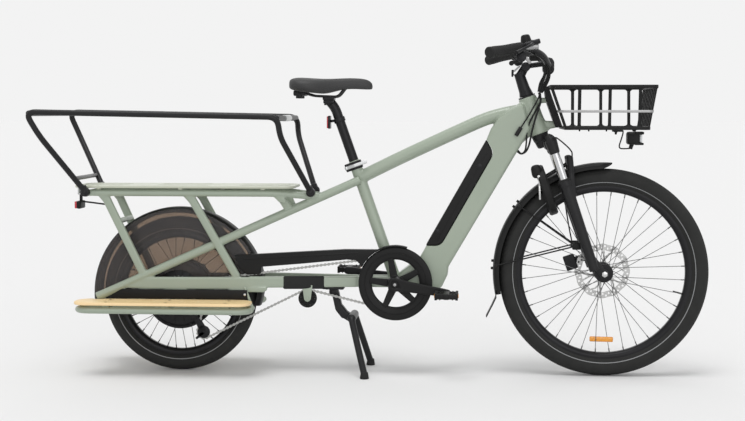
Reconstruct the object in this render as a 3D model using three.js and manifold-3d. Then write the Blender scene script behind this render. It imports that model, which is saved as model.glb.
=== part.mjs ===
// A longtail cargo bicycle with an electric hub motor, in millimetres.
// +X is forward, +Z is up, and the chain is on the right-hand side, at -Y.
// Pieces are drawn with the rear axle at x = 0 and the ground at z = 0,
// and the whole is then centred on its bounding box.

import * as THREE from 'three';
import { mergeVertices } from 'three/addons/utils/BufferGeometryUtils.js';
import Module from 'manifold-3d';

const wasm = await Module();
wasm.setup();

// Driving dimensions
const wheelBase = 1390;
const frontTyreRadius = 337;
const rearTyreRadius = 256;
const headAngle = 71;
const forkOffset = 52;
const bracketX = 718;
const bracketZ = 300;
const crankLength = 170;
const crankDrop = 8.9;
const chainLine = 45;
const touch = 0.3;
const overrun = 6;
const weldDistance = 0.0002;

// Heights above the front axle, so that the front end follows the size of its wheel
const aboveAxle = {
  topTubeD: 516, topTubeFront: 527, downTubeHigh: 464, gussetHigh: 531, gussetTop: 548, lugHigh: 556,
  lugLow: 476, basketTop: 598, basketLow: 468, basketHoop: 521, headlight: 436, flap: -148,
};

const tyre = { width: 60, frontHeight: 57.5, rearHeight: 53 };
const rim = {
  frontSeat: frontTyreRadius - tyre.frontHeight, rearSeat: rearTyreRadius - tyre.rearHeight, depth: 18,
  width: 34,
};
const spoke = { radius: 1.4, count: 36, rimInset: 8, rimSpread: 3.5, passing: 1.4 };
const frontHub = { half: 48, endRadius: 14, flangeRadius: 30, flangeAt: 30, flangeThick: 6, waist: 16 };
const frontAxle = { radius: 6, half: 66, headRadius: 10, headThick: 5 };
const motor = { radius: 117, rimHalf: 18, spokeAt: 12, shoulder: 104, shoulderHalf: 28, half: 31 };
const rearHub = { rotorBoss: 22, rotorBossEnd: 50.7, drivePost: 14, drivePostEnd: 32.6 };
const rearAxle = { radius: 7, half: 79.6, nutRadius: 12, nutThick: 5 };
const rotor = { radius: 90, inner: 70, hub: 30, thick: 2, windows: 6, frontAt: 38, rearAt: 49 };
const hubBore = 0.5;

const chainBand = { rise: 8, width: 7.6, clearance: 0.9 };
const sprocket = {
  ringPitch: 89, cogPitch: 36.6, pulleyPitch: 22.5, idlerPitch: 29, ringThick: 4, ringInner: 59,
};
const cassette = { inner: 33, big: 62, near: 44, small: 26, least: 20, end: 56.4, step: 3 };
const idler = { x: 430, z: 248, radius: 30, width: 11, pin: 4, plateThick: 3 };
const guidePulley = { x: 55, z: 190 };
const tensionPulley = { x: 86, z: 134 };
const pulley = { width: 6, pin: 2.5, bore: 2.9 };
const cage = { thick: 2.4, tailX: 60, tailZ: 111, tailRadius: 3, edge: 11, inner: 39.6, outer: 50.4 };
const mech = { hangerX: 22, hangerZ: 222, radius: 12, armDepth: 22, armInner: 53.2, armOuter: 67 };

const crank = {
  hub: 23, base: 20, tip: 13, inner: 78, outer: 90, spindle: 11.6, boreGap: 0.4, tipRadius: 13,
};
const guardRing = {
  outer: 120, inner: 80, near: 61, far: 50, armWidth: 22, armInner: 52, arms: 5, lead: 18,
};
const pedal = {
  length: 78, height: 22, inner: 93, outer: 182, pin: 6, pinGap: 0.7, rail: 12, bossRadius: 10,
};

const downTube = {
  half: 37, batteryDepth: 43, rearLowX: 796, rearLowZ: 384, rearHighX: 1011, rearHighZ: 769,
  frontLowX: 889, frontLowZ: 353, frontHighX: 1152,
  frontHighZ: frontTyreRadius + aboveAxle.downTubeHigh, noseX: 887, noseZ: 328, toeX: 866, toeZ: 283,
};
const gusset = {
  lowX: 1024, lowZ: 801, midX: 1047, midZ: 835, highX: 1091,
  highZ: frontTyreRadius + aboveAxle.gussetHigh, topX: 1127,
  topZ: frontTyreRadius + aboveAxle.gussetTop,
};
const battery = { half: 36, topX: 1010, topZ: 767, lowX: 820, lowZ: 428, inset: 27, lowInset: 46 };
const headTube = { radius: 29, bore: 20, low: 492, high: 617 };
const topTube = {
  radius: 21.5, rearX: 596, rearZ: 640, aX: 795, aZ: 737, bX: 925, bZ: 797, cX: 1010, cZ: 834, dX: 1080,
  dZ: frontTyreRadius + aboveAxle.topTubeD, frontX: 1146,
  frontZ: frontTyreRadius + aboveAxle.topTubeFront,
};
const seatTube = { radius: 19, topX: 578, topZ: 697, bore: 16.6, boreDepth: 330 };
const shell = { radius: 24, half: 36.5, bore: 12.2 };
const lug = {
  half: 18, thick: 12, highZ: frontTyreRadius + aboveAxle.lugHigh,
  lowZ: frontTyreRadius + aboveAxle.lugLow,
};

const chainstay = {
  depth: 35, width: 18, z: 302, frontX: 712, frontY: 24, waistX: 590, waistY: 27, wideX: 240, wideY: 64,
  rearX: -125, rearY: 67, rearDepth: 41, rearZ: 296,
};
const longStay = {
  radius: 14, topX: 600, topZ: 635.6, topY: 22, waistX: 480, waistY: 34, wideX: 220, wideY: 60,
  lowX: -113, lowY: 64, endX: -262, endZ: 251, endY: 82,
};
const rail = {
  radius: 11, z: 593, y: 85, rearX: -300, turnX: 330, frontX: 462, frontY: 41, frontZ: 581,
};
const strut = {
  depth: 27, width: 16, rearTopX: -230, rearLowX: -101, rearLowZ: 318, midTopX: 57, midLowX: 204,
  midLowZ: 316, frontTopX: 361, frontLowX: 380, frontLowZ: 541, topY: 83, rearLowY: 66, midLowY: 64,
  frontTopY: 78, frontLowY: 46,
};
const crossTube = {
  radius: 9, rearX: -186, rearZ: 500, rearY: 74, frontX: 455, frontZ: 571, frontY: 38, deckX: 130,
  lowX: 330, lowZ: 300, lowY: 55,
};
const dropout = { thick: 8, inner: 66, top: 290, bottom: 238, front: 34, rear: -34, slot: 7.6 };
const bracketTab = { radius: 11, top: 290, topHalf: 17 };

const deck = {
  top: 617, thick: 8, rearX: -334, frontX: 406, half: 100, corner: 40, bossRadius: 8, bossRearX: -250,
  bossMidX: 20, bossFrontX: 290, slotWidth: 26, slotLength: 170, slotY: 42,
};
const bars = {
  radius: 9.5, railY: 239, rearX: -442, rearZ: 856, frontX: 361, frontZ: 840, kneeRearX: -403,
  kneeRearZ: 781, kneeRearY: 222, kneeFrontX: 366, kneeFrontZ: 778, kneeFrontY: 218, footRearX: -290,
  footRearZ: 596, footFrontX: 440, footFrontZ: 613, footY: 112, bend: 34, lowBarX: -318, lowBarZ: 641,
  lowBarY: 138, lowBarRadius: 7,
};
const barFoot = { depth: 34, high: 628, low: 582, frontX: 449 };

const board = {
  rearX: -315, frontX: 272, inner: 84, outer: 186, tube: 10.5, z: 218.6, corner: 34, thick: 9, top: 245,
  overhang: 4, bearer: 24, bearerRearX: -210, bearerMidX: -15, bearerFrontX: 180,
};
const boardArm = {
  depth: 24, frontX: 256, inner: 73.4, outer: 79.4, top: 312, footHalf: 6, rearX: -262, rearInner: 79,
  rearOuter: 93,
};

const fenderRoom = { rear: 32, front: 20, skirt: 28 };
const skirt = {
  radius: rearTyreRadius + fenderRoom.skirt, thick: 2, at: 36.4, low: 286, rearLow: 258, notch: 80,
  padFrontX: 70, padRearX: -96, padRadius: 8, padOuter: 56,
};
const rearFender = {
  outer: rearTyreRadius + fenderRoom.rear, depth: 18, half: 36, wall: 2.5, front: -8, rear: 190,
};
const frontFender = {
  outer: frontTyreRadius + fenderRoom.front, depth: 20, half: 34, wall: 2.5, front: 86, rear: 192,
  flapX: 1014, flapZ: frontTyreRadius + aboveAxle.flap, flapThick: 3, stay: 2.4, stayOut: 41,
  stayHigh: 141.6, stayLow: 176.3,
  stayRoot: { x: -92, z: 88, half: 11, inner: 37, outer: 60, front: -62 },
};

const chainCase = {
  near: 66, far: 38.8, skin: 3, rearTopX: 192, rearZ: 389, frontTopX: 554, frontTopZ: 411,
  rearLowX: 232, rearLowZ: 326, stepX: 279, stepLowZ: 330, stepZ: 352, frontLowX: 560, frontLowZ: 379,
  roofInner: 122.5, roofOuter: 127.5, roofEnd: 72, tipX: 620, tipZ: 396,
};

const post = {
  radius: 15.8, lowZ: 560, bendZ: 868, headX: 497, headZ: 893, headRadius: 15, headHalf: 22,
  bandRadius: 19.5, bandLowZ: 823, bandHighZ: 837,
};
const rearReflector = {
  x: 491, depth: 11, half: 22, lowZ: 801, highZ: 844, armHalf: 6, armZ: 826, bolt: 8,
};
const saddle = { rearX: 369, noseX: 639, top: 968, skirt: 931, rearHalf: 92, belly: 908 };
const saddleRail = {
  radius: 3.6, y: 22, rearX: 405, rearZ: 921, lowRearX: 450, lowFrontX: 530, lowZ: 911, frontX: 590,
};
const collar = { radius: 23, height: 26, drop: 3, earHalf: 8, slot: 2.5 };
const collarLever = {
  pivotBack: 30, pivotY: 19, pivotRadius: 5, crossY: 29.5, tipY: 27, reach: 41, width: 11, thick: 5,
  skewer: 3.5, gap: 0.4,
};

const stand = {
  pivotX: 512, pivotZ: 267, pin: 6, pinHalf: 30, armHalf: 18, armDepth: 26, crossX: 575, crossZ: 184,
  crossRadius: 14, crossHalf: 58, legTopRadius: 12.5, legRadius: 10.5, footX: 623, footY: 127,
  footRadius: 15, footHeight: 22, hubRadius: 15,
};
const standPlate = {
  rearX: 478, frontX: 548, top: 284.2, bottom: 277, half: 40, earInner: 18.6, earOuter: 28,
  earRadius: 13,
};

const crown = {
  low: 420, high: 462, back: -4, front: 44, half: 82, raceRadius: 28, raceHigh: 491.7, steerer: 14,
  steererHigh: 690,
};
const stanchion = { radius: 14, forward: 25, y: 68, low: 200, gap: 0.5 };
const leg = {
  boreLow: 140, boreHigh: 400, top: 324, topRadius: 20, lowRadius: 16, bottom: 22, lugHalf: 13,
  lugInner: 50.4, lugOuter: 60,
};
const arch = { forward: 62, s: 380, radius: 13.5, bend: 22, cornerY: 62, rootS: 290 };
const lock = {
  forward: -37, s: 312, bolt: 72, inner: 60, outer: 84, thick: 28, openHalf: 35, boltRadius: 4.5,
  boltGap: 1.1, boltStart: 132, boltEnd: 232, channelStart: 126, socketEnd: 318, rodRadius: 4, rodY: 40,
  rodS: 352, rodDrop: 8,
};
const caliper = {
  width: 40, height: 52, inner: 30.5, outer: 48.7, armOuter: 58, slot: 1.4, frontF: -37, frontS: 60,
  rearX: 56, rearZ: 331.8, rearInner: 42, rearOuter: 62, rearWidth: 34, rearHeight: 30,
};

const column = { low: 622, high: 700, lowRadius: 19.5, highRadius: 16, bore: 14.8 };
const stemHead = { forward: 25, s: 711, radius: 16, half: 19 };
const barClamp = { forward: 96, s: 689, radius: 24, half: 21, armRadius: 13 };
const handlebar = {
  clampRadius: 15.9, clampHalf: 30, radius: 11.1, riseF: 86, riseS: 727, riseY: 105, gripF: 38.6,
  gripS: 766.2, gripY: 178, endF: -72.5, endS: 781, endY: 325, bend: 20,
};
const grip = { radius: 17, bore: 11.8, cap: 5 };
const control = {
  collarRadius: 17, collarWidth: 14, bore: 12.6, masterOut: 1, masterUp: 2, masterLength: 48,
  masterRadius: 9, podDrop: 30, podForward: -8, podRadius: 15, podOuter: 2, podInner: -20, podArm: 5,
};
const brakeLever = { width: 13, thick: 7, reach: 100, pivotRadius: 5.5, tipForward: 30, tipDrop: 22 };

const basket = {
  topRearX: 1206, topFrontX: 1539, topZ: frontTyreRadius + aboveAxle.basketTop, lowRearX: 1252,
  lowFrontX: 1518, lowZ: frontTyreRadius + aboveAxle.basketLow, topHalf: 189, lowHalf: 172,
  rimWidth: 14, rimRise: 10, hoopZ: frontTyreRadius + aboveAxle.basketHoop, hoopWidth: 6, slatWidth: 13,
  slatThick: 6, frontSlatCount: 9, sideSlatCount: 3, floorBarCount: 5, plateHalf: 62, plateThick: 10,
};
const headlight = {
  x: 1484, z: frontTyreRadius + aboveAxle.headlight, length: 54, height: 40, width: 58, neck: 8,
  post: 6,
};
const tailLight = { x: -342, z: 549, length: 28, height: 26, width: 60, armRadius: 4 };

const bundle = {
  radius: 6, startF: 126, startY: -56, startS: 716, turnF: 133, turnY: -44, turnS: 698, fallF: 112,
  fallY: -28.6, fallS: 672, lowF: 84, lowY: -25, lowS: 651, nearF: 58, nearY: -16, nearS: 636, endF: 45,
  endY: -15, endS: 626,
};
const harness = {
  radius: 3, startF: 43, startY: -14, startS: 618, bendF: 36, bendY: -24, bendS: 600, sideF: 20,
  sideY: -32, sideS: 578, outerY: -40.6, highF: -6, highS: 545, lowF: -34, lowS: 512, endF: -44,
  endS: 496,
};

const tubeSides = 10;
const rodSides = 8;
const frontWheelSteps = 36;
const rearWheelSteps = 36;
const hubSteps = 18;
const forkSides = 12;
const postSides = 12;
const gripSides = 12;
const bendSteps = 3;
const softBendSteps = 2;
const wireSides = 6;
const stayWireSides = 4;
const headSides = 20;
const collarSides = 16;
const ringSides = 48;
const notchSides = 32;
const fenderSteps = 36;
const fanSteps = 6;
const arcSteps = 6;
const lockSteps = 14;
const channelSteps = 10;
const boltSteps = 9;
const socketSteps = 3;
const cableSteps = 9;
const hubSides = 24;

// Angles in degrees
const fullTurnAngle = 360;
const straightDownAngle = 270;
const channelLeadAngle = 3;
const flapLeadAngle = 1;
const skirtStartAngle = 6;
const skirtEndAngle = 176;
const skirtStepAngle = 10;
const caseInnerAngle = 130;
const caseOuterAngle = 118;

const tyreOutsideShares = [[0, 0.5], [0.4, 1], [0.78, 0.8], [1, 0.3]];
const tyreInsideShares = [[0.5, 0.78]];
const rimShares = [[0, 1], [0.45, 1], [1, 0.45]];
const spokeLeadShares = { front: 4, rear: 0.5 };
const batteryMouthShare = 0.2;
const cornerShare = 0.25;
const bendReachShare = 10 / 21;
const bridgeShare = 0.8;
const wideChainShare = 1.6;
const tightChainShare = 1.2;
const slatLeadShare = 0.62;
const slatTailShare = 0.3;
const rearSlatShares = [0, 0.2, 0.8, 1];
const saddleSectionShares = [0.7, 0.86, 0.3, 0.9, 0.1];
const saddleBellyShares = [[0.1, 0.5, 0], [0.36, 0.62, 1], [0.62, 0.2, 0.2]];
const saddleOutlineShares = [[0, 0.72], [0.12, 1], [0.3, 0.97], [0.5, 0.42], [0.75, 0.22], [1, 0.1]];
const saddleTopShares = [0.9, 1, 0.95, 0.88, 0.97, 0.68];
const spokePhaseShare = 0.5;
const gripStartShare = 0.184;
const windowOuterShares = [0.08, 0.36, 0.64, 0.92];
const windowInnerShares = [0.62, 0.34, 0.06];

const sides = [['right', -1], ['left', 1]];
const cylinderAxis = new THREE.Vector3(0, 1, 0);

const finishes = {
  frame: new THREE.MeshStandardMaterial({ color: 0x9aa391, roughness: 0.5, metalness: 0.1 }),
  black: new THREE.MeshStandardMaterial({ color: 0x222423, roughness: 0.55, metalness: 0.1 }),
  plastic: new THREE.MeshStandardMaterial({ color: 0x2b2c2b, roughness: 0.6, metalness: 0 }),
  rubber: new THREE.MeshStandardMaterial({ color: 0x2c2b2c, roughness: 0.9, metalness: 0 }),
  steel: new THREE.MeshStandardMaterial({ color: 0xb8bab8, roughness: 0.3, metalness: 0.9 }),
  smoke: new THREE.MeshStandardMaterial(
    { color: 0x3a3838, roughness: 0.3, metalness: 0, transparent: true, opacity: 0.75 },
  ),
  wood: new THREE.MeshStandardMaterial({ color: 0xdcae72, roughness: 0.6, metalness: 0 }),
  saddle: new THREE.MeshStandardMaterial({ color: 0x262626, roughness: 0.7, metalness: 0 }),
  lens: new THREE.MeshStandardMaterial({ color: 0xb51525, roughness: 0.3, metalness: 0 }),
};

// Points, solids and pieces
const at = (x, y, z) => new THREE.Vector3(x, y, z);
const radians = (degrees) => THREE.MathUtils.degToRad(degrees);
const round = (radius, degrees) => [
  radius * Math.cos(radians(degrees)), radius * Math.sin(radians(degrees)),
];

function solidOf(geometry) {
  const bare = geometry.clone();
  bare.deleteAttribute('normal');
  bare.deleteAttribute('uv');
  const merged = mergeVertices(bare, weldDistance);
  const corners = merged.attributes.position.array;
  const corner = (index) => at(corners[3 * index], corners[3 * index + 1], corners[3 * index + 2]);
  const faces = [];
  let volume = 0;
  for (let i = 0; i < merged.index.count; i += 3) {
    const [a, b, c] = [0, 1, 2].map((step) => merged.index.getX(i + step));
    if (a !== b && b !== c && c !== a) {
      faces.push([a, b, c]);
      volume += corner(a).dot(corner(b).cross(corner(c)));
    }
  }
  const outward = volume < 0 ? faces.map(([a, b, c]) => [a, c, b]) : faces;
  return new wasm.Manifold(new wasm.Mesh({
    numProp: 3,
    vertProperties: new Float32Array(corners),
    triVerts: new Uint32Array(outward.flat()),
  }));
}

const join = (...solids) => solids.reduce((whole, next) => whole.add(next));
const cut = (solid, ...tools) => tools.reduce((left, tool) => left.subtract(tool), solid);

function rod(from, to, radius, endRadius = radius, facets = rodSides) {
  const reach = to.clone().sub(from);
  const geometry = new THREE.CylinderGeometry(endRadius, radius, reach.length(), facets);
  geometry.applyQuaternion(
    new THREE.Quaternion().setFromUnitVectors(cylinderAxis, reach.clone().normalize()),
  );
  const middle = from.clone().add(to).multiplyScalar(1 / 2);
  return solidOf(geometry.translate(middle.x, middle.y, middle.z));
}

function beam(from, to, depth, width) {
  const along = to.clone().sub(from).normalize();
  const side = cylinderAxis.clone().addScaledVector(along, -along.y).normalize();
  const across = along.clone().cross(side);
  const geometry = new THREE.BoxGeometry(depth, from.distanceTo(to), width);
  const middle = from.clone().add(to).multiplyScalar(1 / 2);
  geometry.applyMatrix4(new THREE.Matrix4().makeBasis(across, along, side).setPosition(middle));
  return solidOf(geometry);
}

function block(low, high) {
  const size = high.clone().sub(low);
  const middle = low.clone().add(high).multiplyScalar(1 / 2);
  return solidOf(new THREE.BoxGeometry(size.x, size.y, size.z).translate(middle.x, middle.y, middle.z));
}

function disc(x, z, radius, y1, y2, facets = tubeSides) {
  return rod(at(x, Math.min(y1, y2), z), at(x, Math.max(y1, y2), z), radius, radius, facets);
}

function plate(outline, y1, y2) {
  const shape = outline instanceof THREE.Shape ? outline : new THREE.Shape(
    outline.map(([x, z]) => new THREE.Vector2(x, z)),
  );
  const depth = Math.abs(y2 - y1);
  const geometry = new THREE.ExtrudeGeometry(
    shape,
    { depth, bevelEnabled: false, curveSegments: 2 * bendSteps },
  );
  return solidOf(geometry.rotateX(Math.PI / 2).translate(0, Math.max(y1, y2), 0));
}

function slab(outline, z1, z2) {
  const shape = outline instanceof THREE.Shape ? outline : new THREE.Shape(
    outline.map(([x, y]) => new THREE.Vector2(x, y)),
  );
  const geometry = new THREE.ExtrudeGeometry(
    shape,
    { depth: z2 - z1, bevelEnabled: false, curveSegments: bendSteps },
  );
  return solidOf(geometry.translate(0, 0, z1));
}

function turned(profile, facets) {
  const points = profile.map(([radius, y]) => new THREE.Vector2(radius, y));
  return solidOf(new THREE.LatheGeometry([...points, points[0]], facets));
}

const tube = (inner, outer, y1, y2, facets) => turned(
  [[inner, y1], [outer, y1], [outer, y2], [inner, y2]],
  facets,
);

class CornerPath extends THREE.Curve {
  constructor(samples) {
    super();
    this.samples = samples;
  }

  index(share) {
    return Math.round(share * (this.samples.length - 1));
  }

  getPoint(share) {
    return this.samples[this.index(share)].clone();
  }

  getPointAt(share) {
    return this.getPoint(share);
  }

  getTangentAt(share) {
    const k = this.index(share);
    const here = this.samples[k];
    const before = this.samples[k - 1];
    const after = this.samples[k + 1];
    const tangent = at(0, 0, 0);
    if (before) tangent.add(here.clone().sub(before).normalize());
    if (after) tangent.add(after.clone().sub(here).normalize());
    return tangent.normalize();
  }
}

function rounded(points, radius, steps = bendSteps) {
  const samples = [points[0]];
  for (let i = 1; i < points.length - 1; i += 1) {
    const toBefore = points[i - 1].clone().sub(points[i]);
    const toAfter = points[i + 1].clone().sub(points[i]);
    const reach = Math.min(radius, toBefore.length() * bendReachShare, toAfter.length() * bendReachShare);
    const start = points[i].clone().addScaledVector(toBefore.normalize(), reach);
    const end = points[i].clone().addScaledVector(toAfter.normalize(), reach);
    samples.push(...new THREE.QuadraticBezierCurve3(start, points[i], end).getPoints(steps));
  }
  return [...samples, points[points.length - 1]];
}

function pipe(samples, radius, facets = tubeSides) {
  const section = new THREE.Shape();
  section.setFromPoints(Array.from({ length: facets }, (_, i) => {
    const angle = 2 * Math.PI * (i + 1 / 2) / facets;
    return new THREE.Vector2(radius * Math.cos(angle), radius * Math.sin(angle));
  }));
  const extrudePath = new CornerPath(samples);
  return solidOf(
    new THREE.ExtrudeGeometry(section, { steps: samples.length - 1, extrudePath, bevelEnabled: false }),
  );
}

const bike = new THREE.Group();
const frontWheelGroup = new THREE.Group();
const rearWheelGroup = new THREE.Group();
const crankGroup = new THREE.Group();
const steeringGroup = new THREE.Group();
bike.add(frontWheelGroup, rearWheelGroup, crankGroup, steeringGroup);
frontWheelGroup.position.set(wheelBase, 0, frontTyreRadius);
rearWheelGroup.position.set(0, 0, rearTyreRadius);
crankGroup.position.set(bracketX, 0, bracketZ);
crankGroup.rotation.y = radians(crankDrop);

// The steering group's own x runs forward across the steering axis and its own z runs up along it.
const lean = radians(90 - headAngle);
steeringGroup.rotation.y = -lean;
steeringGroup.position.set(
  wheelBase - forkOffset * Math.cos(lean),
  0,
  frontTyreRadius - forkOffset * Math.sin(lean),
);
const steered = (forward, y, s) => at(
  steeringGroup.position.x + forward * Math.cos(lean) - s * Math.sin(lean),
  y,
  steeringGroup.position.z + forward * Math.sin(lean) + s * Math.cos(lean),
);

function addPiece(name, solid, finish, group = bike) {
  const { vertProperties, triVerts } = solid.getMesh();
  const geometry = new THREE.BufferGeometry();
  geometry.setAttribute('position', new THREE.BufferAttribute(new Float32Array(vertProperties), 3));
  geometry.setIndex(new THREE.BufferAttribute(new Uint32Array(triVerts), 1));
  geometry.computeVertexNormals();
  const mesh = new THREE.Mesh(geometry, finish);
  mesh.name = name;
  group.add(mesh);
}

// Wheels
function tyreSolid(seat, radius, facets) {
  const place = ([rise, spread], side) => [seat + rise * (radius - seat), side * spread * tyre.width / 2];
  const outside = [
    ...tyreOutsideShares.map((share) => place(share, -1)),
    ...tyreOutsideShares.toReversed().map((share) => place(share, 1)),
  ];
  const inside = [
    ...tyreInsideShares.map((share) => place(share, 1)),
    ...tyreInsideShares.toReversed().map((share) => place(share, -1)),
  ];
  return turned([...outside, ...inside], facets);
}

function rimSolid(seat, facets) {
  const place = ([inset, spread], side) => [seat - inset * rim.depth, side * spread * rim.width / 2];
  const profile = [
    ...rimShares.map((share) => place(share, -1)),
    ...rimShares.toReversed().map((share) => place(share, 1)),
  ];
  return turned(profile, facets);
}

function spokes({ hubRadius, hubSpread, rimRadius, lead, phase }) {
  const pitch = 360 / spoke.count;
  return Array.from({ length: spoke.count }, (_, i) => {
    const side = i % 2 === 0 ? -1 : 1;
    const turn = i % 4 < 2 ? 1 : -1;
    const shift = turn * spoke.passing;
    const [x, z] = round(rimRadius, pitch * (i + phase));
    const [hubX, hubZ] = round(hubRadius, pitch * (i + phase + turn * lead));
    const inner = at(hubX, side * (hubSpread + shift), hubZ);
    const outer = at(x, side * (spoke.rimSpread + shift), z);
    return rod(inner, outer, spoke.radius, spoke.radius, 3);
  });
}

function addFrontWheel() {
  const { half, endRadius, flangeRadius, flangeAt, flangeThick, waist } = frontHub;
  const bore = frontAxle.radius + hubBore;
  const far = flangeAt + flangeThick / 2;
  const near = flangeAt - flangeThick / 2;
  const halfProfile = [
    [bore, half], [endRadius, half], [endRadius, far], [flangeRadius, far], [flangeRadius, near],
    [waist, near],
  ];
  const hub = turned([
    ...halfProfile.map(([r, y]) => [r, -y]),
    ...halfProfile.toReversed(),
  ], hubSteps);
  const laces = spokes({
    hubRadius: flangeRadius - flangeThick,
    hubSpread: flangeAt,
    rimRadius: rim.frontSeat - spoke.rimInset,
    lead: spokeLeadShares.front,
    phase: spokePhaseShare,
  });
  addPiece(
    'front_wheel',
    join(rimSolid(rim.frontSeat, frontWheelSteps), hub, ...laces),
    finishes.black,
    frontWheelGroup,
  );
  addPiece(
    'front_tyre',
    tyreSolid(rim.frontSeat + touch, frontTyreRadius, frontWheelSteps),
    finishes.rubber,
    frontWheelGroup,
  );
  addPiece(
    'front_rotor',
    rotorSolid(rotor.frontAt, endRadius + touch, hubSteps),
    finishes.steel,
    frontWheelGroup,
  );
}

function rotorSolid(y, bore, boreSteps) {
  const ringOf = (radius, count) => Array.from({ length: count }, (_, i) => (
    new THREE.Vector2(...round(radius, 90 + 360 * i / count))
  ));
  const sheet = new THREE.Shape(ringOf(rotor.radius, frontWheelSteps));
  sheet.holes.push(new THREE.Path(ringOf(bore, boreSteps)));
  const pitch = 360 / rotor.windows;
  for (let i = 0; i < rotor.windows; i += 1) {
    const outer = windowOuterShares.map((share) => round(rotor.inner, pitch * (i + share)));
    const inner = windowInnerShares.map((share) => round(rotor.hub, pitch * (i + share)));
    sheet.holes.push(new THREE.Path([...outer, ...inner].map(([x, z]) => new THREE.Vector2(x, z))));
  }
  return plate(sheet, y - rotor.thick / 2, y + rotor.thick / 2);
}

function addRearWheel() {
  const bore = rearAxle.radius + hubBore;
  const { rotorBoss, rotorBossEnd, drivePost, drivePostEnd } = rearHub;
  const shellProfile = [
    [bore, -drivePostEnd], [drivePost, -drivePostEnd], [drivePost, -motor.half], [
      motor.shoulder, -motor.shoulderHalf,
    ],
    [motor.radius, -motor.rimHalf], [motor.radius, motor.rimHalf], [motor.shoulder, motor.shoulderHalf],
    [rotorBoss, motor.half], [rotorBoss, rotorBossEnd], [bore, rotorBossEnd],
  ];
  const laces = spokes({
    hubRadius: motor.radius - spoke.rimInset,
    hubSpread: motor.spokeAt,
    rimRadius: rim.rearSeat - spoke.rimInset,
    lead: spokeLeadShares.rear,
    phase: spokePhaseShare,
  });
  addPiece(
    'rear_wheel',
    join(rimSolid(rim.rearSeat, rearWheelSteps), turned(shellProfile, rearWheelSteps), ...laces),
    finishes.black,
    rearWheelGroup,
  );
  addPiece(
    'rear_tyre',
    tyreSolid(rim.rearSeat + touch, rearTyreRadius, rearWheelSteps),
    finishes.rubber,
    rearWheelGroup,
  );
  addPiece(
    'rear_rotor',
    rotorSolid(rotor.rearAt, rotorBoss + touch, rearWheelSteps),
    finishes.steel,
    rearWheelGroup,
  );
  const axleRod = disc(0, 0, rearAxle.radius, -rearAxle.half, rearAxle.half);
  const nuts = sides.map(([, side]) => {
    const inner = side * (dropout.inner + dropout.thick + touch);
    return disc(0, 0, rearAxle.nutRadius, inner, inner + side * rearAxle.nutThick, wireSides);
  });
  addPiece('rear_axle', join(axleRod, ...nuts), finishes.steel, rearWheelGroup);
  const grooveRadius = sprocket.cogPitch - chainBand.rise / 2 - chainBand.clearance;
  const bandHalf = chainBand.width / 2 + chainBand.clearance;
  const { inner, big, near, small, least, end, step } = cassette;
  addPiece('cassette', turned([
    [bore, -inner], [big, -inner], [big, -inner - step], [near, -inner - step],
    [near, bandHalf - chainLine],
    [grooveRadius, bandHalf - chainLine], [grooveRadius, -bandHalf - chainLine],
    [small, -bandHalf - chainLine],
    [least, -end], [bore, -end],
  ], headSides), finishes.steel, rearWheelGroup);
}

// Chain and its wheels
const chainWheels = [
  { x: bracketX, z: bracketZ, radius: sprocket.ringPitch, turn: 1 },
  { x: 0, z: rearTyreRadius, radius: sprocket.cogPitch, turn: 1 },
  { x: guidePulley.x, z: guidePulley.z, radius: sprocket.pulleyPitch, turn: -1 },
  { x: tensionPulley.x, z: tensionPulley.z, radius: sprocket.pulleyPitch, turn: 1 },
  { x: idler.x, z: idler.z, radius: sprocket.idlerPitch, turn: -1 },
];

// The directions, from each wheel's centre, in which a straight run leaves one wheel and meets the next.
function tangentAngle(from, to) {
  const span = Math.hypot(to.x - from.x, to.z - from.z);
  const heading = Math.atan2(to.z - from.z, to.x - from.x);
  const swing = Math.acos((from.turn * from.radius - to.turn * to.radius) / span);
  return heading - swing;
}

function chainOutline(offset) {
  const points = [];
  chainWheels.forEach((wheel, i) => {
    const before = chainWheels[(i + chainWheels.length - 1) % chainWheels.length];
    const after = chainWheels[(i + 1) % chainWheels.length];
    const flip = wheel.turn > 0 ? 0 : Math.PI;
    const start = tangentAngle(before, wheel) + flip;
    const end = tangentAngle(wheel, after) + flip;
    let sweep = (end - start) % (2 * Math.PI);
    if (wheel.turn > 0 && sweep < 0) sweep += 2 * Math.PI;
    if (wheel.turn < 0 && sweep > 0) sweep -= 2 * Math.PI;
    const radius = wheel.radius + wheel.turn * offset;
    const steps = Math.max(
      3,
      Math.round(
        Math.abs(sweep) * bendSteps * (wheel.radius > sprocket.cogPitch ? wideChainShare : tightChainShare),
      ),
    );
    for (let k = 0; k <= steps; k += 1) {
      const angle = start + sweep * k / steps;
      points.push([wheel.x + radius * Math.cos(angle), wheel.z + radius * Math.sin(angle)]);
    }
  });
  return points;
}

function addChain() {
  const outer = plate(
    chainOutline(chainBand.rise / 2),
    -chainLine - chainBand.width / 2,
    -chainLine + chainBand.width / 2,
  );
  const inner = plate(
    chainOutline(-chainBand.rise / 2),
    -chainLine - chainBand.width,
    -chainLine + chainBand.width,
  );
  addPiece('chain', cut(outer, inner), finishes.steel);
}

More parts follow.
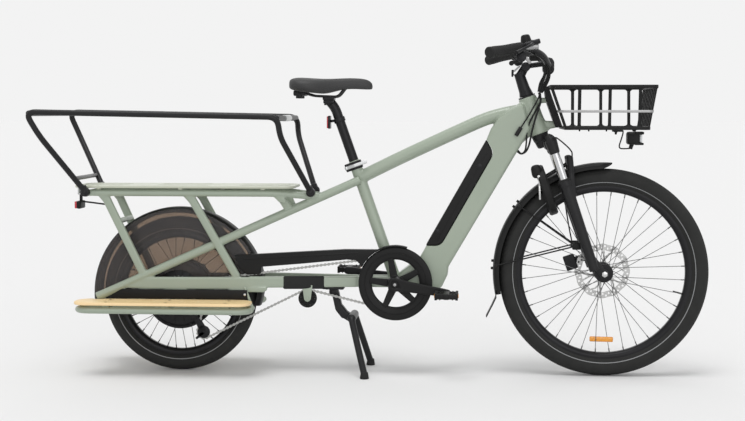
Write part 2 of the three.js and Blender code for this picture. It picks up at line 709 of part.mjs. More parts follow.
function addDerailleur() {
  const pulleyRadius = sprocket.pulleyPitch - chainBand.rise / 2 - chainBand.clearance;
  const near = -chainLine - pulley.width / 2;
  const far = -chainLine + pulley.width / 2;
  [['guide_pulley', guidePulley], ['tension_pulley', tensionPulley]].forEach(([name, { x, z }]) => {
    const wheel = cut(
      disc(x, z, pulleyRadius, near, far, headSides),
      disc(x, z, pulley.bore, near - overrun, far + overrun),
    );
    addPiece(name, wheel, finishes.plastic);
  });
  const link = (y1, y2) => join(
    disc(guidePulley.x, guidePulley.z, cage.edge, y1, y2),
    disc(tensionPulley.x, tensionPulley.z, cage.edge, y1, y2),
    beam(
      at(guidePulley.x, (y1 + y2) / 2, guidePulley.z),
      at(tensionPulley.x, (y1 + y2) / 2, tensionPulley.z),
      2 * cage.edge,
      cage.thick,
    ),
    beam(
      at(tensionPulley.x, (y1 + y2) / 2, tensionPulley.z),
      at(cage.tailX, (y1 + y2) / 2, cage.tailZ),
      cage.edge,
      cage.thick,
    ),
  );
  const pin = ({ x, z }) => disc(x, z, pulley.pin, -cage.outer, -cage.inner);
  const tail = disc(cage.tailX, cage.tailZ, cage.tailRadius, -cage.outer, -cage.inner);
  addPiece('derailleur_cage', join(
    link(-cage.outer, -cage.outer - cage.thick),
    link(-cage.inner, -cage.inner + cage.thick),
    pin(guidePulley),
    pin(tensionPulley),
    tail,
  ), finishes.black);
  const middle = -(mech.armInner + mech.armOuter) / 2;
  addPiece('derailleur_body', join(
    disc(mech.hangerX, mech.hangerZ, mech.radius, -mech.armInner, -dropout.inner - dropout.thick),
    beam(
      at(mech.hangerX, middle, mech.hangerZ),
      at(guidePulley.x, middle, guidePulley.z),
      mech.armDepth,
      mech.armOuter - mech.armInner,
    ),
    disc(guidePulley.x, guidePulley.z, mech.radius, -mech.armInner, -mech.armOuter),
  ), finishes.black);
}

function addIdler() {
  const { x, z, radius, width, pin } = idler;
  const groove = sprocket.idlerPitch - chainBand.rise / 2 - chainBand.clearance;
  const grooveHalf = chainBand.width / 2 + chainBand.clearance;
  const wheel = turned([
    [pin + touch, -width / 2], [radius, -width / 2], [radius, -grooveHalf], [groove, -grooveHalf],
    [groove, grooveHalf], [radius, grooveHalf], [radius, width / 2], [pin + touch, width / 2],
  ], hubSides);
  addPiece('idler_wheel', wheel.translate([x, -chainLine, z]), finishes.plastic);
}

// Cranks and pedals, in the crank group, whose x runs along the right crank
function crankArm(side) {
  const near = side * crank.inner;
  const far = side * crank.outer;
  const end = -side * crankLength;
  const reach = Math.abs(end);
  const outline = [[0, crank.base], [reach, crank.tip], [reach, -crank.tip], [0, -crank.base]]
    .map(([x, z]) => [Math.sign(end) * x, z]);
  return join(plate(outline, near, far), disc(end, 0, crank.tipRadius, near, far));
}

function addCranks() {
  const bore = disc(
    0,
    0,
    crank.spindle + crank.boreGap,
    -crank.outer - overrun,
    -guardRing.far + overrun,
    collarSides,
  );
  const pedalBore = (side) => disc(
    -side * crankLength,
    0,
    pedal.pin + pedal.pinGap,
    side * (crank.inner - overrun),
    side * (crank.outer + overrun),
  );
  const ring = tube(
    guardRing.inner - touch,
    guardRing.outer,
    -guardRing.near,
    -guardRing.far,
    frontWheelSteps,
  );
  const arms = Array.from({ length: guardRing.arms }, (_, i) => {
    const [x, z] = round(guardRing.inner + overrun / 2, guardRing.lead + 360 * i / guardRing.arms);
    const y = -(guardRing.near + guardRing.armInner) / 2;
    return beam(at(0, y, 0), at(x, y, z), guardRing.armWidth, guardRing.near - guardRing.armInner);
  });
  const boss = disc(0, 0, crank.hub, -crank.outer, -guardRing.armInner, headSides);
  addPiece(
    'right_crank',
    cut(join(crankArm(-1), boss, ring, ...arms), bore, pedalBore(-1)),
    finishes.black,
    crankGroup,
  );

  const ringHalf = sprocket.ringThick / 2;
  const ringOuter = sprocket.ringPitch - chainBand.rise / 2 - chainBand.clearance;
  addPiece(
    'chainring',
    tube(sprocket.ringInner, ringOuter, -chainLine - ringHalf, -chainLine + ringHalf, notchSides),
    finishes.steel,
    crankGroup,
  );

  const spindle = disc(0, 0, crank.spindle, -crank.outer, crank.outer, collarSides);
  addPiece(
    'left_crank',
    cut(
      join(crankArm(1), disc(0, 0, crank.hub, crank.inner - overrun, crank.outer), spindle),
      pedalBore(1),
    ),
    finishes.black,
    crankGroup,
  );
}

function addPedals() {
  const drop = radians(crankDrop);
  sides.forEach(([name, side]) => {
    const reach = -side * crankLength;
    const x = bracketX + reach * Math.cos(drop);
    const z = bracketZ - reach * Math.sin(drop);
    const low = at(x - pedal.length / 2, side > 0 ? pedal.inner : -pedal.outer, z - pedal.height / 2);
    const high = at(x + pedal.length / 2, side > 0 ? pedal.outer : -pedal.inner, z + pedal.height / 2);
    const window = (sign) => block(
      at(
        sign > 0 ? x + pedal.bossRadius : x - pedal.length / 2 + pedal.rail,
        low.y + pedal.rail,
        low.z - overrun,
      ),
      at(
        sign > 0 ? x + pedal.length / 2 - pedal.rail : x - pedal.bossRadius,
        high.y - pedal.rail,
        high.z + overrun,
      ),
    );
    const pin = disc(x, z, pedal.pin, side * crank.inner, side * (pedal.inner + pedal.rail));
    addPiece(`${name}_pedal`, join(cut(block(low, high), window(1), window(-1)), pin), finishes.black);
  });
}

// Main frame
const tubeRun = at(
  downTube.rearHighX - downTube.rearLowX,
  0,
  downTube.rearHighZ - downTube.rearLowZ,
).normalize();
const batteryInward = at(tubeRun.z, 0, -tubeRun.x);
const seatRun = at(seatTube.topX - bracketX, 0, seatTube.topZ - bracketZ).normalize();
const seatTop = at(seatTube.topX, 0, seatTube.topZ);

function batteryOutline(grow) {
  const { topX, topZ, lowX, lowZ, inset, lowInset } = battery;
  const top = at(topX, 0, topZ).addScaledVector(tubeRun, grow);
  const low = at(lowX, 0, lowZ).addScaledVector(tubeRun, -grow);
  const depth = downTube.batteryDepth + grow;
  const topInner = top.clone().addScaledVector(tubeRun, -inset).addScaledVector(batteryInward, depth);
  const lowInner = low.clone().addScaledVector(tubeRun, lowInset).addScaledVector(batteryInward, depth);
  return [top, topInner, lowInner, low].map(({ x, z }) => [x, z]);
}

function addMainFrame() {
  const d = downTube;
  const [top, topInner, lowInner, low] = batteryOutline(touch).map(([x, z]) => at(x, 0, z));
  const mouth = [
    top.clone().lerp(topInner, -batteryMouthShare), topInner, lowInner,
    low.clone().lerp(lowInner, -batteryMouthShare),
  ].map(({ x, z }) => [x, z]);
  const head = rod(
    steered(0, 0, headTube.low),
    steered(0, 0, headTube.high),
    headTube.radius,
    headTube.radius,
    headSides,
  );
  const tubePlate = plate([
    [gusset.topX, gusset.topZ], [gusset.highX, gusset.highZ], [gusset.midX, gusset.midZ],
    [gusset.lowX, gusset.lowZ],
    [d.rearHighX, d.rearHighZ], [d.rearLowX, d.rearLowZ], [bracketX, bracketZ + shell.radius],
    [bracketX - shell.radius, bracketZ], [bracketX, bracketZ - shell.radius], [d.toeX, d.toeZ],
    [d.noseX, d.noseZ],
    [d.frontLowX, d.frontLowZ], [d.frontHighX, d.frontHighZ],
  ], -d.half, d.half);
  const topPipe = pipe([
    at(topTube.rearX, 0, topTube.rearZ), at(topTube.aX, 0, topTube.aZ), at(topTube.bX, 0, topTube.bZ),
    at(topTube.cX, 0, topTube.cZ), at(topTube.dX, 0, topTube.dZ), at(topTube.frontX, 0, topTube.frontZ),
  ], topTube.radius);
  const seat = rod(at(bracketX, 0, bracketZ), seatTop, seatTube.radius, seatTube.radius, postSides);
  const shellDisc = disc(bracketX, bracketZ, shell.radius, -shell.half, shell.half, headSides);
  const front = steered(headTube.radius, 0, 0);
  const lugs = [lug.highZ, lug.lowZ].map((z) => {
    const wall = basketRearX(z);
    const inside = steered(0, 0, (z - front.z) / Math.cos(lean)).x;
    return block(at(inside, -lug.half, z - lug.thick / 2), at(wall, lug.half, z + lug.thick / 2));
  });
  const steererBore = rod(
    steered(0, 0, headTube.low - overrun),
    steered(0, 0, headTube.high + overrun),
    headTube.bore,
    headTube.bore,
    headSides,
  );
  const postBore = rod(
    seatTop.clone().addScaledVector(seatRun, -seatTube.boreDepth),
    seatTop.clone().addScaledVector(seatRun, overrun),
    seatTube.bore,
    seatTube.bore,
    postSides,
  );
  const axleBore = disc(
    bracketX,
    bracketZ,
    shell.bore,
    -shell.half - overrun,
    shell.half + overrun,
    headSides,
  );
  addPiece('main_frame', cut(
    join(tubePlate, topPipe, seat, shellDisc, head, ...lugs),
    plate(mouth, -d.half - overrun, d.half + overrun),
    basketPlate(touch),
    steererBore,
    postBore,
    axleBore,
  ), finishes.frame);
  addPiece('battery', plate(batteryOutline(0), -battery.half, battery.half), finishes.black);
}

// Rear frame: one welded side each for right and left
const strutTop = rail.z;

function rearFrameSide(side) {
  const y = (value) => side * value;
  const c = chainstay;
  const chainstayParts = [
    beam(at(c.frontX, y(c.frontY), c.z), at(c.waistX, y(c.waistY), c.z), c.depth, c.width),
    beam(at(c.waistX, y(c.waistY), c.z), at(c.wideX, y(c.wideY), c.z), c.depth, c.width),
    beam(at(c.wideX, y(c.wideY), c.rearZ), at(c.rearX, y(c.rearY), c.rearZ), c.rearDepth, c.width),
    disc(c.waistX, c.z, c.depth / 2, y(c.waistY - c.width / 2), y(c.waistY + c.width / 2)),
    disc(c.wideX, c.rearZ, c.rearDepth / 2, y(c.wideY - c.width / 2), y(c.wideY + c.width / 2)),
  ];
  const longPipe = longStayPipe(side, 0);
  const railPipe = pipe([
    at(rail.rearX, y(rail.y), rail.z), at(rail.turnX, y(rail.y), rail.z), at(
      rail.frontX,
      y(rail.frontY),
      rail.frontZ,
    ),
  ], rail.radius);
  const struts = [
    beam(
      at(strut.rearTopX, y(strut.topY), strutTop),
      at(strut.rearLowX, y(strut.rearLowY), strut.rearLowZ),
      strut.depth,
      strut.width,
    ),
    beam(
      at(strut.midTopX, y(strut.topY), strutTop),
      at(strut.midLowX, y(strut.midLowY), strut.midLowZ),
      strut.depth,
      strut.width,
    ),
    beam(
      at(strut.frontTopX, y(strut.frontTopY), strutTop),
      at(strut.frontLowX, y(strut.frontLowY), strut.frontLowZ),
      strut.depth,
      strut.width,
    ),
  ];
  const half = touch / 2;
  const crossings = [
    rod(
      at(crossTube.rearX, y(crossTube.rearY), crossTube.rearZ),
      at(crossTube.rearX, y(half), crossTube.rearZ),
      crossTube.radius,
    ),
    rod(
      at(crossTube.frontX, y(crossTube.frontY), crossTube.frontZ),
      at(crossTube.frontX, y(half), crossTube.frontZ),
      crossTube.radius,
    ),
    rod(at(crossTube.deckX, y(rail.y), rail.z), at(crossTube.deckX, y(half), rail.z), crossTube.radius),
    rod(
      at(rail.rearX + rail.radius, y(rail.y), rail.z),
      at(rail.rearX + rail.radius, y(half), rail.z),
      crossTube.radius,
    ),
    rod(
      at(crossTube.lowX, y(crossTube.lowY), crossTube.lowZ),
      at(crossTube.lowX, y(half), crossTube.lowZ),
      crossTube.radius,
    ),
  ];
  const drop = plate([
    [dropout.rear, dropout.top], [dropout.front, dropout.top], [
      dropout.front, rearTyreRadius - dropout.slot,
    ],
    [0, dropout.bottom], [dropout.rear, rearTyreRadius],
  ], y(dropout.inner), y(dropout.inner + dropout.thick));
  const axleHole = disc(
    0,
    rearTyreRadius,
    dropout.slot,
    y(dropout.inner - overrun),
    y(dropout.inner + dropout.thick + overrun),
  );
  return cut(join(...chainstayParts, longPipe, railPipe, ...struts, ...crossings, drop), axleHole);
}

function idlerBracket() {
  const y1 = -chainLine - idler.width / 2 - touch;
  const y2 = y1 - idler.plateThick;
  const tab = join(
    plate([
      [idler.x - bracketTab.topHalf, bracketTab.top], [idler.x + bracketTab.topHalf, bracketTab.top],
      [idler.x + bracketTab.radius, idler.z], [idler.x - bracketTab.radius, idler.z],
    ], y1, y2),
    disc(idler.x, idler.z, bracketTab.radius, y1, y2),
  );
  const pin = disc(
    idler.x,
    idler.z,
    idler.pin,
    y2 - idler.plateThick,
    -chainLine + idler.width / 2 + idler.plateThick,
  );
  return join(tab, pin);
}

function addRearFrame() {
  const frontClear = join(
    rod(at(bracketX, 0, bracketZ), seatTop, seatTube.radius + touch, seatTube.radius + touch, postSides),
    disc(bracketX, bracketZ, shell.radius + touch, -shell.half - overrun, shell.half + overrun, headSides),
    pipe([
      at(topTube.rearX, 0, topTube.rearZ), at(topTube.aX, 0, topTube.aZ),
    ], topTube.radius + 2 * touch),
    plate([
      [downTube.rearLowX, downTube.rearLowZ], [bracketX, bracketZ + shell.radius + touch],
      [bracketX - shell.radius - touch, bracketZ], [bracketX, bracketZ - shell.radius - touch],
      [downTube.toeX, downTube.toeZ],
    ], -downTube.half - touch, downTube.half + touch),
  );
  const midPlane = (side) => (side < 0
    ? block(at(-wheelBase, -touch / 2, 0), at(wheelBase, wheelBase, wheelBase))
    : block(at(-wheelBase, -wheelBase, 0), at(wheelBase, touch / 2, wheelBase)));
  addPiece(
    'right_rear_frame',
    cut(join(rearFrameSide(-1), idlerBracket()), frontClear, midPlane(-1)),
    finishes.frame,
  );
  addPiece('left_rear_frame', cut(rearFrameSide(1), frontClear, midPlane(1)), finishes.frame);
}

// Rack deck and monkey bars
function roundedRectangle(x1, x2, y1, y2, corner) {
  const shape = new THREE.Shape();
  shape.moveTo(x1 + corner, y1);
  shape.lineTo(x2 - corner, y1);
  shape.absarc(x2 - corner, y1 + corner, corner, -Math.PI / 2, 0, false);
  shape.lineTo(x2, y2 - corner);
  shape.absarc(x2 - corner, y2 - corner, corner, 0, Math.PI / 2, false);
  shape.lineTo(x1 + corner, y2);
  shape.absarc(x1 + corner, y2 - corner, corner, Math.PI / 2, Math.PI, false);
  shape.lineTo(x1, y1 + corner);
  shape.absarc(x1 + corner, y1 + corner, corner, Math.PI, 3 * Math.PI / 2, false);
  return shape;
}

function addDeck() {
  const top = slab(
    roundedRectangle(deck.rearX, deck.frontX, -deck.half, deck.half, deck.corner),
    deck.top - deck.thick,
    deck.top,
  );
  const slots = [deck.bossRearX, deck.bossMidX, deck.bossFrontX].flatMap((x) => sides.map(([, side]) => {
    const y = side * deck.slotY;
    return block(
      at(x - deck.slotLength / 2, y - deck.slotWidth / 2, deck.top - deck.thick - overrun),
      at(x + deck.slotLength / 2, y + deck.slotWidth / 2, deck.top + overrun),
    );
  }));
  const seat = rail.z + rail.radius + touch;
  const bosses = [deck.bossRearX, deck.bossMidX, deck.bossFrontX].flatMap((x) => sides.map(([, side]) => (
    rod(at(x, side * rail.y, seat), at(x, side * rail.y, deck.top - deck.thick / 2), deck.bossRadius)
  )));
  addPiece('rack_deck', join(cut(top, ...slots), ...bosses), finishes.frame);
}

function addMonkeyBars() {
  const b = bars;
  const hoops = sides.map(([, side]) => {
    const kneeRear = at(b.kneeRearX, side * b.kneeRearY, b.kneeRearZ);
    const kneeFront = at(b.kneeFrontX, side * b.kneeFrontY, b.kneeFrontZ);
    const top = rounded([
      kneeRear, at(b.rearX, side * b.railY, b.rearZ), at(b.frontX, side * b.railY, b.frontZ), kneeFront,
    ], b.bend, 3);
    const footRear = at(b.footRearX, side * b.footY, b.footRearZ);
    const footFront = at(b.footFrontX, side * b.footY, b.footFrontZ);
    return pipe([footRear, ...top, footFront], b.radius, rodSides);
  });
  const crossbar = (x, y, z, radius) => rod(at(x, -y, z), at(x, y, z), radius, radius, tubeSides);
  const corner = b.bend * cornerShare;
  const feet = sides.flatMap(([, side]) => {
    const inner = side * (rail.y + rail.radius + touch);
    const outer = side * (b.footY + b.radius);
    return [b.footRearX, barFoot.frontX].map((x) => {
      const low = at(x - barFoot.depth / 2, Math.min(inner, outer), barFoot.low);
      const high = at(x + barFoot.depth / 2, Math.max(inner, outer), barFoot.high);
      return block(low, high);
    });
  });
  const deckRoom = block(
    at(deck.rearX, -deck.half - touch, deck.top - deck.thick - touch),
    at(deck.frontX, deck.half + touch, barFoot.high + overrun),
  );
  addPiece('monkey_bars', join(
    ...hoops,
    crossbar(b.rearX + corner, b.railY - corner, b.rearZ - corner / 2, b.radius),
    crossbar(b.frontX - corner / 2, b.railY - corner, b.frontZ - corner / 2, b.radius),
    crossbar(b.lowBarX, b.lowBarY, b.lowBarZ, b.lowBarRadius),
    ...feet.map((foot) => cut(foot, deckRoom)),
  ), finishes.black);
}

// Running boards
function addBoards() {
  const b = board;
  const a = boardArm;
  sides.forEach(([name, side]) => {
    const nearY = side * (b.inner + b.tube);
    const farY = side * (b.outer - b.tube);
    const bow = (end, back) => pipe(rounded([
      at(back, nearY, b.z), at(end, nearY, b.z), at(end, farY, b.z), at(back, farY, b.z),
    ], b.corner, 2), b.tube, rodSides);
    const loop = join(bow(b.frontX - b.tube, -overrun), bow(b.rearX + b.tube, overrun));
    const frontArm = (grow) => join(
      spanBlock(side, a.inner - grow, a.outer + grow, a.frontX, a.depth + 2 * grow, b.z, a.top),
      spanBlock(side, a.inner, b.inner + b.tube, a.frontX, a.depth, b.z - a.footHalf, b.z + a.footHalf),
    );
    const rearArm = (grow) => (
      spanBlock(side, a.rearInner - grow, a.rearOuter + grow, a.rearX, a.depth + 2 * grow, b.z, b.top)
    );
    const bearers = [b.bearerRearX, b.bearerMidX, b.bearerFrontX].map((x) => (
      spanBlock(side, b.inner + b.tube, b.outer - b.tube, x, b.bearer, b.z, b.top - b.thick - touch)
    ));
    const stayClear = longStayPipe(side, touch);
    addPiece(
      `${name}_board_frame`,
      cut(join(loop, frontArm(0), rearArm(0), ...bearers), stayClear),
      finishes.frame,
    );
    const y1 = side * (b.inner - b.overhang);
    const y2 = side * (b.outer + b.overhang);
    const outline = roundedRectangle(
      b.rearX - b.overhang,
      b.frontX + b.overhang,
      Math.min(y1, y2),
      Math.max(y1, y2),
      b.corner,
    );
    const wood = slab(outline, b.top - b.thick, b.top);
    addPiece(`${name}_footboard`, cut(wood, frontArm(touch), rearArm(touch), stayClear), finishes.wood);
  });
}

const stayHeight = (x) => (
  longStay.topZ + (x - longStay.topX) * (longStay.topZ - longStay.endZ) / (longStay.topX - longStay.endX)
);

function longStayPipe(side, grow) {
  const s = longStay;
  return pipe([
    at(s.topX, side * s.topY, s.topZ),
    at(s.waistX, side * s.waistY, stayHeight(s.waistX)),
    at(s.wideX, side * s.wideY, stayHeight(s.wideX)),
    at(s.lowX, side * s.lowY, stayHeight(s.lowX)),
    at(s.endX - 2 * grow, side * s.endY, s.endZ - grow),
  ], s.radius + grow, rodSides);
}

// A box on one side of the bicycle, between two distances from its middle plane
function spanBlock(side, inner, outer, x, depth, z1, z2) {
  return block(
    at(x - depth / 2, Math.min(side * inner, side * outer), z1),
    at(x + depth / 2, Math.max(side * inner, side * outer), z2),
  );
}

// Fenders and guards
function fenderBand(outer, depth, half, wall, from, to, facets) {
  const band = turned([
    [outer - depth, -half], [outer - 2 * wall, -half], [outer, -half + 2 * wall], [outer, half - 2 * wall],
    [outer - 2 * wall, half], [outer - depth, half], [outer - depth, half - wall],
    [outer - 2 * wall, half - wall],
    [outer - 2 * wall, -half + wall], [outer - depth, -half + wall],
  ], facets);
  const fan = [[0, 0]];
  for (let i = 0; i <= fanSteps; i += 1) fan.push(round(2 * outer, from + (to - from) * i / fanSteps));
  return band.intersect(plate(fan, -2 * half, 2 * half));
}

function addFenders() {
  const f = rearFender;
  addPiece(
    'rear_fender',
    fenderBand(f.outer, f.depth, f.half, f.wall, f.front, f.rear, fenderSteps),
    finishes.plastic,
    rearWheelGroup,
  );
  const g = frontFender;
  const band = fenderBand(g.outer, g.depth, g.half, g.wall, g.front, g.rear, fenderSteps);
  const [edgeX, edgeZ] = round(g.outer - g.flapThick, g.rear - flapLeadAngle);
  const flap = beam(
    at(edgeX, 0, edgeZ),
    at(g.flapX - wheelBase, 0, g.flapZ - frontTyreRadius),
    g.flapThick,
    2 * g.half - 2 * g.wall,
  );
  const root = g.stayRoot;
  const stays = sides.flatMap(([, side]) => [g.stayHigh, g.stayLow].map((angle) => {
    const [x, z] = round(g.outer - g.depth / 2, angle);
    return rod(
      at(root.x, side * g.stayOut, root.z),
      at(x, side * (g.half - g.wall / 2), z),
      g.stay,
      g.stay,
      stayWireSides,
    );
  }));
  const brackets = sides.map(([, side]) => {
    const legRoom = legSolid(side, touch).rotate([0, -90 + headAngle, 0])
      .translate([steeringGroup.position.x - wheelBase, 0, steeringGroup.position.z - frontTyreRadius]);
    return cut(block(
      at(root.x - root.half, Math.min(side * root.inner, side * root.outer), root.z - root.half),
      at(root.front, Math.max(side * root.inner, side * root.outer), root.z + root.half),
    ), legRoom);
  });
  addPiece('front_fender', join(band, flap, ...stays, ...brackets), finishes.plastic, frontWheelGroup);
}

function legSolid(side, grow) {
  const low = at(stanchion.forward, side * stanchion.y, leg.bottom);
  const high = at(stanchion.forward, side * stanchion.y, leg.top);
  return rod(low, high, leg.lowRadius + grow, leg.topRadius + grow, forkSides);
}

function addSkirtGuards() {
  const shape = [];
  for (let degrees = skirtStartAngle; degrees <= skirtEndAngle; degrees += skirtStepAngle) {
    shape.push(round(skirt.radius, degrees));
  }
  shape.push([-skirt.radius, skirt.rearLow - rearTyreRadius]);
  shape.push([longStay.lowX - longStay.radius, skirt.low - rearTyreRadius]);
  sides.forEach(([name, side]) => {
    const near = side * skirt.at;
    const far = side * (skirt.at + skirt.thick);
    const sheet = plate(shape, near, far);
    const notch = disc(0, 0, skirt.notch, near - side * overrun, far + side * overrun, notchSides);
    const stayRoom = longStayPipe(side, touch).translate([0, 0, -rearTyreRadius]);
    const pads = [skirt.padFrontX, skirt.padRearX].map((x) => (
      disc(x, stayHeight(x) - rearTyreRadius, skirt.padRadius, near, side * skirt.padOuter)
    ));
    const guard = cut(join(sheet, ...pads), stayRoom);
    addPiece(`${name}_skirt_guard`, side < 0 ? cut(guard, notch) : guard, finishes.smoke, rearWheelGroup);
  });
}

function addChainCase() {
  const c = chainCase;
  const arcPoints = (radius, from, to) => Array.from({ length: arcSteps + 1 }, (_, i) => {
    const [x, z] = round(radius, from + (to - from) * i / arcSteps);
    return [bracketX + x, bracketZ + z];
  });
  const outline = [
    [c.rearTopX, c.rearZ], [c.rearLowX, c.rearLowZ], [c.stepX, c.stepLowZ], [c.stepX, c.stepZ],
    [c.frontLowX, c.frontLowZ],
    [c.tipX, c.tipZ],
    ...arcPoints(c.roofInner, caseInnerAngle, c.roofEnd),
    ...arcPoints(c.roofOuter, c.roofEnd, caseOuterAngle),
    [c.frontTopX, c.frontTopZ],
  ];
  const body = plate(outline, -c.near, -c.far);
  const ringRoom = disc(bracketX, bracketZ, c.roofInner, -c.near - overrun, -c.far + overrun, ringSides);
  const hollow = plate([
    [c.rearTopX - 2 * overrun, c.rearZ - c.skin], [c.rearLowX - 2 * overrun, 0],
    [c.frontLowX + 8 * overrun, 0],
    [c.frontLowX + 8 * overrun, c.frontTopZ - c.skin], [c.frontTopX, c.frontTopZ - c.skin],
  ], -c.near + c.skin, -c.far + overrun);
  const strutRoom = beam(
    at(strut.midTopX, -strut.topY, strutTop),
    at(strut.midLowX, -strut.midLowY, strut.midLowZ),
    strut.depth + 2 * touch,
    strut.width + 2 * touch,
  );
  addPiece('chain_case', cut(body, ringRoom, hollow, strutRoom), finishes.black);
}

// Seat
function addSeat() {
  const postAt = (z) => at(bracketX, 0, bracketZ).addScaledVector(seatRun, (z - bracketZ) / seatRun.z);
  const shaft = pipe(rounded([
    postAt(post.lowZ), postAt(post.bendZ), at(post.headX, 0, post.headZ),
  ], 2 * post.radius, 2), post.radius, postSides);
  const clampHead = disc(
    post.headX,
    post.headZ,
    post.headRadius,
    -post.headHalf,
    post.headHalf,
    collarSides,
  );
  const r = saddleRail;
  const railRoom = sides.map(([, side]) => pipe(saddleRailRoute(side), r.radius + touch, wireSides));
  const band = rod(
    postAt(post.bandLowZ),
    postAt(post.bandHighZ),
    post.bandRadius,
    post.bandRadius,
    postSides,
  );
  const f = rearReflector;
  const bandMiddle = postAt((post.bandLowZ + post.bandHighZ) / 2);
  const reflector = join(
    block(at(f.x, -f.half, f.lowZ), at(f.x + f.depth, f.half, f.highZ)),
    beam(at(f.x + f.depth / 2, 0, f.armZ), bandMiddle, 2 * f.armHalf, 2 * f.armHalf),
    beam(bandMiddle, bandMiddle.clone().add(at(post.bandRadius + f.bolt / 2, 0, 0)), f.bolt, 2 * f.armHalf),
  );
  addPiece('seatpost', cut(join(shaft, clampHead, band, reflector), ...railRoom), finishes.black);

  const length = saddle.noseX - saddle.rearX;
  const rise = saddle.top - saddle.skirt;
  const skin = (share, spread, lift) => at(
    saddle.rearX + share * length,
    spread * saddle.rearHalf,
    saddle.skirt + lift * rise,
  );
  const [shoulder, crownRise, sideRise, underside, bellyRise] = saddleSectionShares;
  const rings = saddleOutlineShares.map(([share, spread], i) => {
    const top = saddleTopShares[i];
    return [
      skin(share, 0, top),
      skin(share, shoulder * spread, crownRise * top),
      skin(share, spread, sideRise),
      skin(share, underside * spread, 0),
      skin(share, -underside * spread, 0),
      skin(share, -spread, sideRise),
      skin(share, -shoulder * spread, crownRise * top),
    ];
  });
  const cushion = loft(rings);
  const bellyPoint = (share, spread, depth) => at(
    saddle.rearX + share * length,
    spread * saddle.rearHalf,
    saddle.skirt - depth * (saddle.skirt - saddle.belly),
  );
  const belly = loft(saddleBellyShares.map(([share, spread, depth]) => [
    skin(share, spread, bellyRise), skin(share, -spread, bellyRise),
    bellyPoint(share, -shoulder * spread, depth),
    bellyPoint(share, shoulder * spread, depth),
  ]));
  const rails = sides.map(([, side]) => pipe(saddleRailRoute(side), r.radius, wireSides));
  const room = disc(
    post.headX,
    post.headZ,
    post.headRadius + touch,
    -post.headHalf - overrun,
    post.headHalf + overrun,
    collarSides,
  );
  addPiece('saddle', join(cut(join(cushion, belly), room), ...rails), finishes.saddle);
}

function saddleRailRoute(side) {
  const r = saddleRail;
  const y = side * r.y;
  return rounded([
    at(r.rearX, y, saddle.skirt + r.radius), at(r.rearX + r.radius, y, r.rearZ), at(r.lowRearX, y, r.lowZ),
    at(r.lowFrontX, y, r.lowZ), at(r.frontX, y, saddle.skirt + r.radius),
  ], 3 * r.radius, 2);
}

function loft(rings) {
  const count = rings[0].length;
  const positions = rings.flat().flatMap(({ x, y, z }) => [x, y, z]);
  const faces = [];
  for (let i = 0; i < rings.length - 1; i += 1) {
    for (let k = 0; k < count; k += 1) {
      const a = i * count + k;
      const b = i * count + (k + 1) % count;
      faces.push(a, b, b + count, a, b + count, a + count);
    }
  }
  const last = (rings.length - 1) * count;
  for (let k = 1; k < count - 1; k += 1) {
    faces.push(0, k + 1, k);
    faces.push(last, last + k, last + k + 1);
  }
  const geometry = new THREE.BufferGeometry();
  geometry.setAttribute('position', new THREE.BufferAttribute(new Float32Array(positions), 3));
  geometry.setIndex(faces);
  return solidOf(geometry);
}

function addSeatClamp() {
  const c = collar;
  const v = collarLever;
  const backward = at(-seatRun.z, 0, seatRun.x);
  const place = (back, y, up) => seatTop.clone()
    .addScaledVector(backward, back)
    .addScaledVector(seatRun, up)
    .add(at(0, y, 0));
  const low = -c.drop - c.height;
  const middle = -c.drop - c.height / 2;
  const band = rod(place(0, 0, low), place(0, 0, -c.drop), c.radius, c.radius, collarSides);
  const ear = beam(
    place(c.radius / 2, 0, middle),
    place(v.pivotBack + v.pivotRadius, 0, middle),
    c.height,
    2 * c.earHalf,
  );
  const slot = beam(
    place(c.radius / 2, 0, middle),
    place(v.pivotBack + 3 * overrun, 0, middle),
    c.height + overrun,
    c.slot,
  );
  const skewer = rod(
    place(v.pivotBack, c.earHalf + v.pivotRadius, middle),
    place(v.pivotBack, v.pivotRadius + v.gap - v.pivotY, middle),
    v.skewer,
    v.skewer,
  );
  const room = rod(
    place(0, 0, low - overrun),
    place(0, 0, overrun),
    seatTube.radius + touch,
    seatTube.radius + touch,
    postSides,
  );
  const tubeRoom = pipe([
    at(topTube.rearX, 0, topTube.rearZ), at(topTube.aX, 0, topTube.aZ),
  ], topTube.radius + touch);
  addPiece('seat_clamp', join(cut(join(band, ear), room, slot, tubeRoom), skewer), finishes.black);
  const pivot = (up) => place(v.pivotBack, -v.pivotY, middle + up);
  addPiece('seat_clamp_lever', join(
    rod(pivot(-v.width / 2), pivot(v.width / 2), v.pivotRadius, v.pivotRadius),
    beam(pivot(0), place(0, -v.crossY, middle), v.width, v.thick),
    beam(place(v.thick / 2, -v.crossY, middle), place(-v.reach, -v.tipY, middle), v.width, v.thick),
  ), finishes.black);
}

